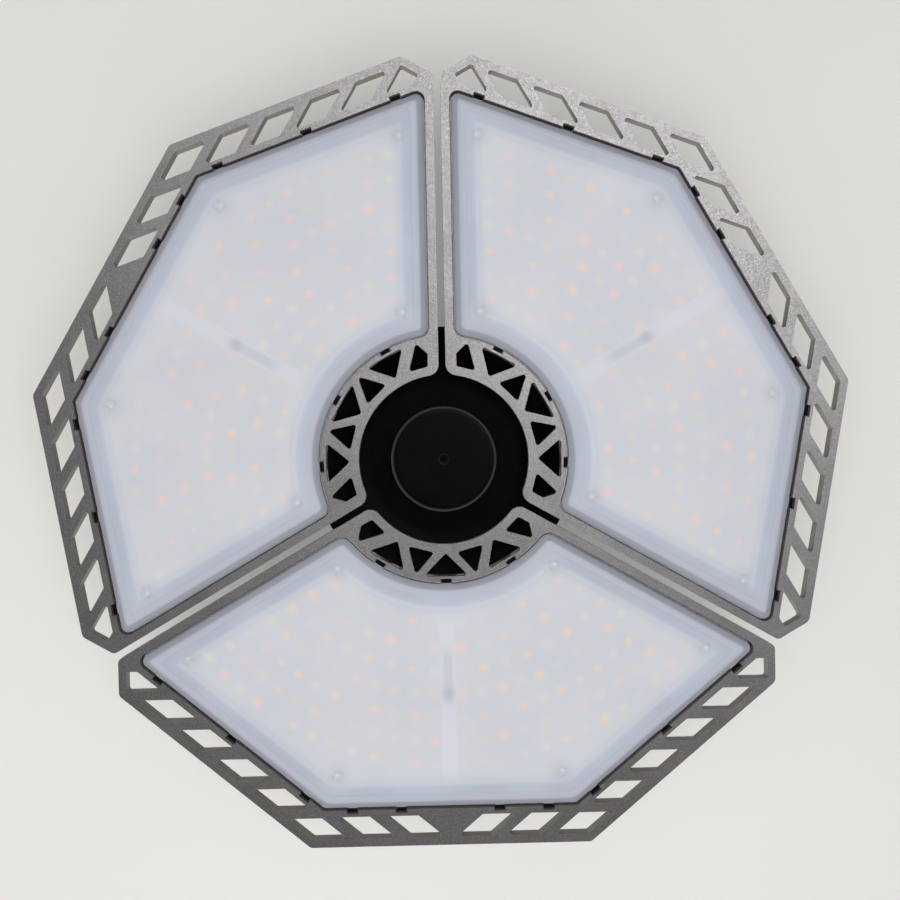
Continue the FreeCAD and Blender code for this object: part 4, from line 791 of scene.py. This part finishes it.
def squeeze_slope(cover, still, middle, wanted):
    """Moves the slope's corners between a still height and the middle, so that the middle gets
    to the wanted height."""
    bpy.ops.mesh.select_mode(type="VERT")
    bpy.ops.mesh.select_all(action="DESELECT")
    shape = bmesh.from_edit_mesh(cover.data)
    for corner in shape.verts:
        height = corner.co.z / MM
        upper = still < middle and still + LEVEL_SLACK < height < middle + LEVEL_SLACK
        lower = still > middle and middle + LEVEL_SLACK < height < still - LEVEL_SLACK
        outside = all(face.normal.z < INSIDE_FACE for face in corner.link_faces)
        if (upper or lower) and outside:
            corner.select_set(True)
    bmesh.update_edit_mesh(cover.data)
    share = (wanted - still) / (middle - still)
    bpy.ops.transform.resize(value=(1.0, 1.0, share), center_override=(0.0, 0.0, still * MM))
    bpy.ops.mesh.select_all(action="DESELECT")


def smooth(piece, angle):
    """Smooth shading that keeps creases, with the flats kept flat."""
    activate(piece)
    bpy.ops.object.shade_smooth_by_angle(angle=math.radians(angle))
    bpy.ops.object.modifier_add(type="WEIGHTED_NORMAL")
    piece.modifiers[-1].keep_sharp = True
    bpy.ops.object.modifier_apply(modifier=piece.modifiers[-1].name)
    deselect()


def finished(piece, node, body, material):
    """Puts a finished piece in the place of a CAD node."""
    piece.data.materials.clear()
    piece.data.materials.append(material)
    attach(piece, body)
    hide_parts(node)


finishes = {
    "silver_casting": silver_casting(),
    "frosted_cover": frosted_cover(),
    "white_board": white_board(),
    "phosphor": phosphor(),
    "black_casting": black_casting(),
    "black_gloss": black_gloss(),
    "black_plastic": black_plastic(),
    "black_screw": black_screw(),
    "zinc_steel": zinc_steel(),
    "nickel_shell": nickel_shell(),
    "black_insulator": black_insulator(),
    "brass_contact": brass_contact(),
    "black_rubber": black_rubber(),
    "green_laminate": green_laminate(),
    "ferrite": ferrite(),
    "yellow_tape": yellow_tape(),
    "capacitor_sleeve": capacitor_sleeve(),
    "copper_winding": copper_winding(),
    "chip_package": chip_package(),
}

# every CAD node wears the finish that its slot is named after
for node in nodes.values():
    for place in node.material_slots:
        place.material = finishes[place.material.name.split(".")[0]]

# the bowl is deeper black than the other black castings
nodes["front_dish"].material_slots[0].material = black_enamel()

# the panels' covers and castings, reshaped as copies that stand for their nodes
for number in PANELS:
    name = f"panel_{number}"
    cover = merged_copy(nodes[f"{name}_diffuser"], f"{name}_cover")
    raise_ledge(cover)
    round_edges(cover, at_cover_rim, COVER_EDGE)
    smooth(cover, COVER_SMOOTHING)
    finished(cover, f"{name}_diffuser", name, finishes["frosted_cover"])

    casting = merged_copy(nodes[f"{name}_frame"], f"{name}_casting")
    round_edges(casting, on_casting_corner, CASTING_EDGE)
    smooth(casting, CASTING_SMOOTHING)
    finished(casting, f"{name}_frame", name, finishes["silver_casting"])

# the studio: a pale floor under the hanging lamp and a pale board behind it
deselect()
bpy.ops.mesh.primitive_plane_add(size=STUDIO_SIZE, location=(0.0, 0.0, FLOOR_HEIGHT))
floor = bpy.context.object
floor.name = "studio_floor"
floor.data.materials.append(studio_floor())
deselect()
bpy.ops.mesh.primitive_plane_add(size=STUDIO_SIZE, location=(0.0, 0.0, BACKDROP_HEIGHT))
backdrop = bpy.context.object
backdrop.name = "studio_backdrop"
bpy.ops.object.mode_set(mode="EDIT")
bpy.ops.mesh.select_all(action="SELECT")
bpy.ops.mesh.flip_normals()
bpy.ops.object.mode_set(mode="OBJECT")
backdrop.data.materials.append(studio_backdrop())
deselect()


def soft_light(name, place, size, power, upward, mirrored=True):
    """A square softbox that faces straight up or straight down, and may show in gloss. Its
    place and size are in metres and its power is in watts."""
    lamp = bpy.data.lights.new(name, "AREA")
    lamp.shape = "SQUARE"
    lamp.size = size
    lamp.energy = power
    holder = bpy.data.objects.new(name, lamp)
    holder.location = place
    holder.rotation_euler = (math.pi if upward else 0.0, 0.0, 0.0)
    holder.visible_camera = False
    holder.visible_glossy = mirrored
    bpy.context.scene.collection.objects.link(holder)


soft_light("key_softbox", (0.0, -0.06, -0.9), 0.35, 3.3, True, mirrored=False)
soft_light("fill_softbox", (0.1, -0.35, -0.9), 1.2, 2.2, True, mirrored=False)
soft_light("back_softbox", (0.25, -0.45, 1.2), 1.2, 18.0, False)

# the air lights surfaces less than it shows behind them and in gloss
world = bpy.data.worlds.new("studio_air")
world.use_nodes = True
bpy.context.scene.world = world
air = world.node_tree
background = air.nodes["Background"]
background.inputs["Color"].default_value = AIR_TINT
rays = air.nodes.new("ShaderNodeLightPath")
strength = air.nodes.new("ShaderNodeMapRange")
strength.inputs["To Min"].default_value = AIR_LIGHT
strength.inputs["To Max"].default_value = AIR_SEEN
seen = rays.outputs["Is Camera Ray"]
for kind in ("Is Glossy Ray", "Is Transmission Ray"):
    most = air.nodes.new("ShaderNodeMath")
    most.operation = "MAXIMUM"
    air.links.new(seen, most.inputs[0])
    air.links.new(rays.outputs[kind], most.inputs[1])
    seen = most.outputs[0]
air.links.new(seen, strength.inputs["Value"])
air.links.new(strength.outputs["Result"], background.inputs["Strength"])

camera = bpy.data.objects.new("camera", bpy.data.cameras.new("camera"))
camera.location = CAMERA_PLACE
camera.rotation_euler = Euler([math.radians(turn) for turn in CAMERA_TURN])
camera.data.sensor_width = CAMERA_SENSOR
camera.data.lens = CAMERA_LENS
camera.data.clip_start = CAMERA_NEAREST
bpy.context.scene.collection.objects.link(camera)
bpy.context.scene.camera = camera
bpy.context.scene.view_settings.view_transform = "Standard"
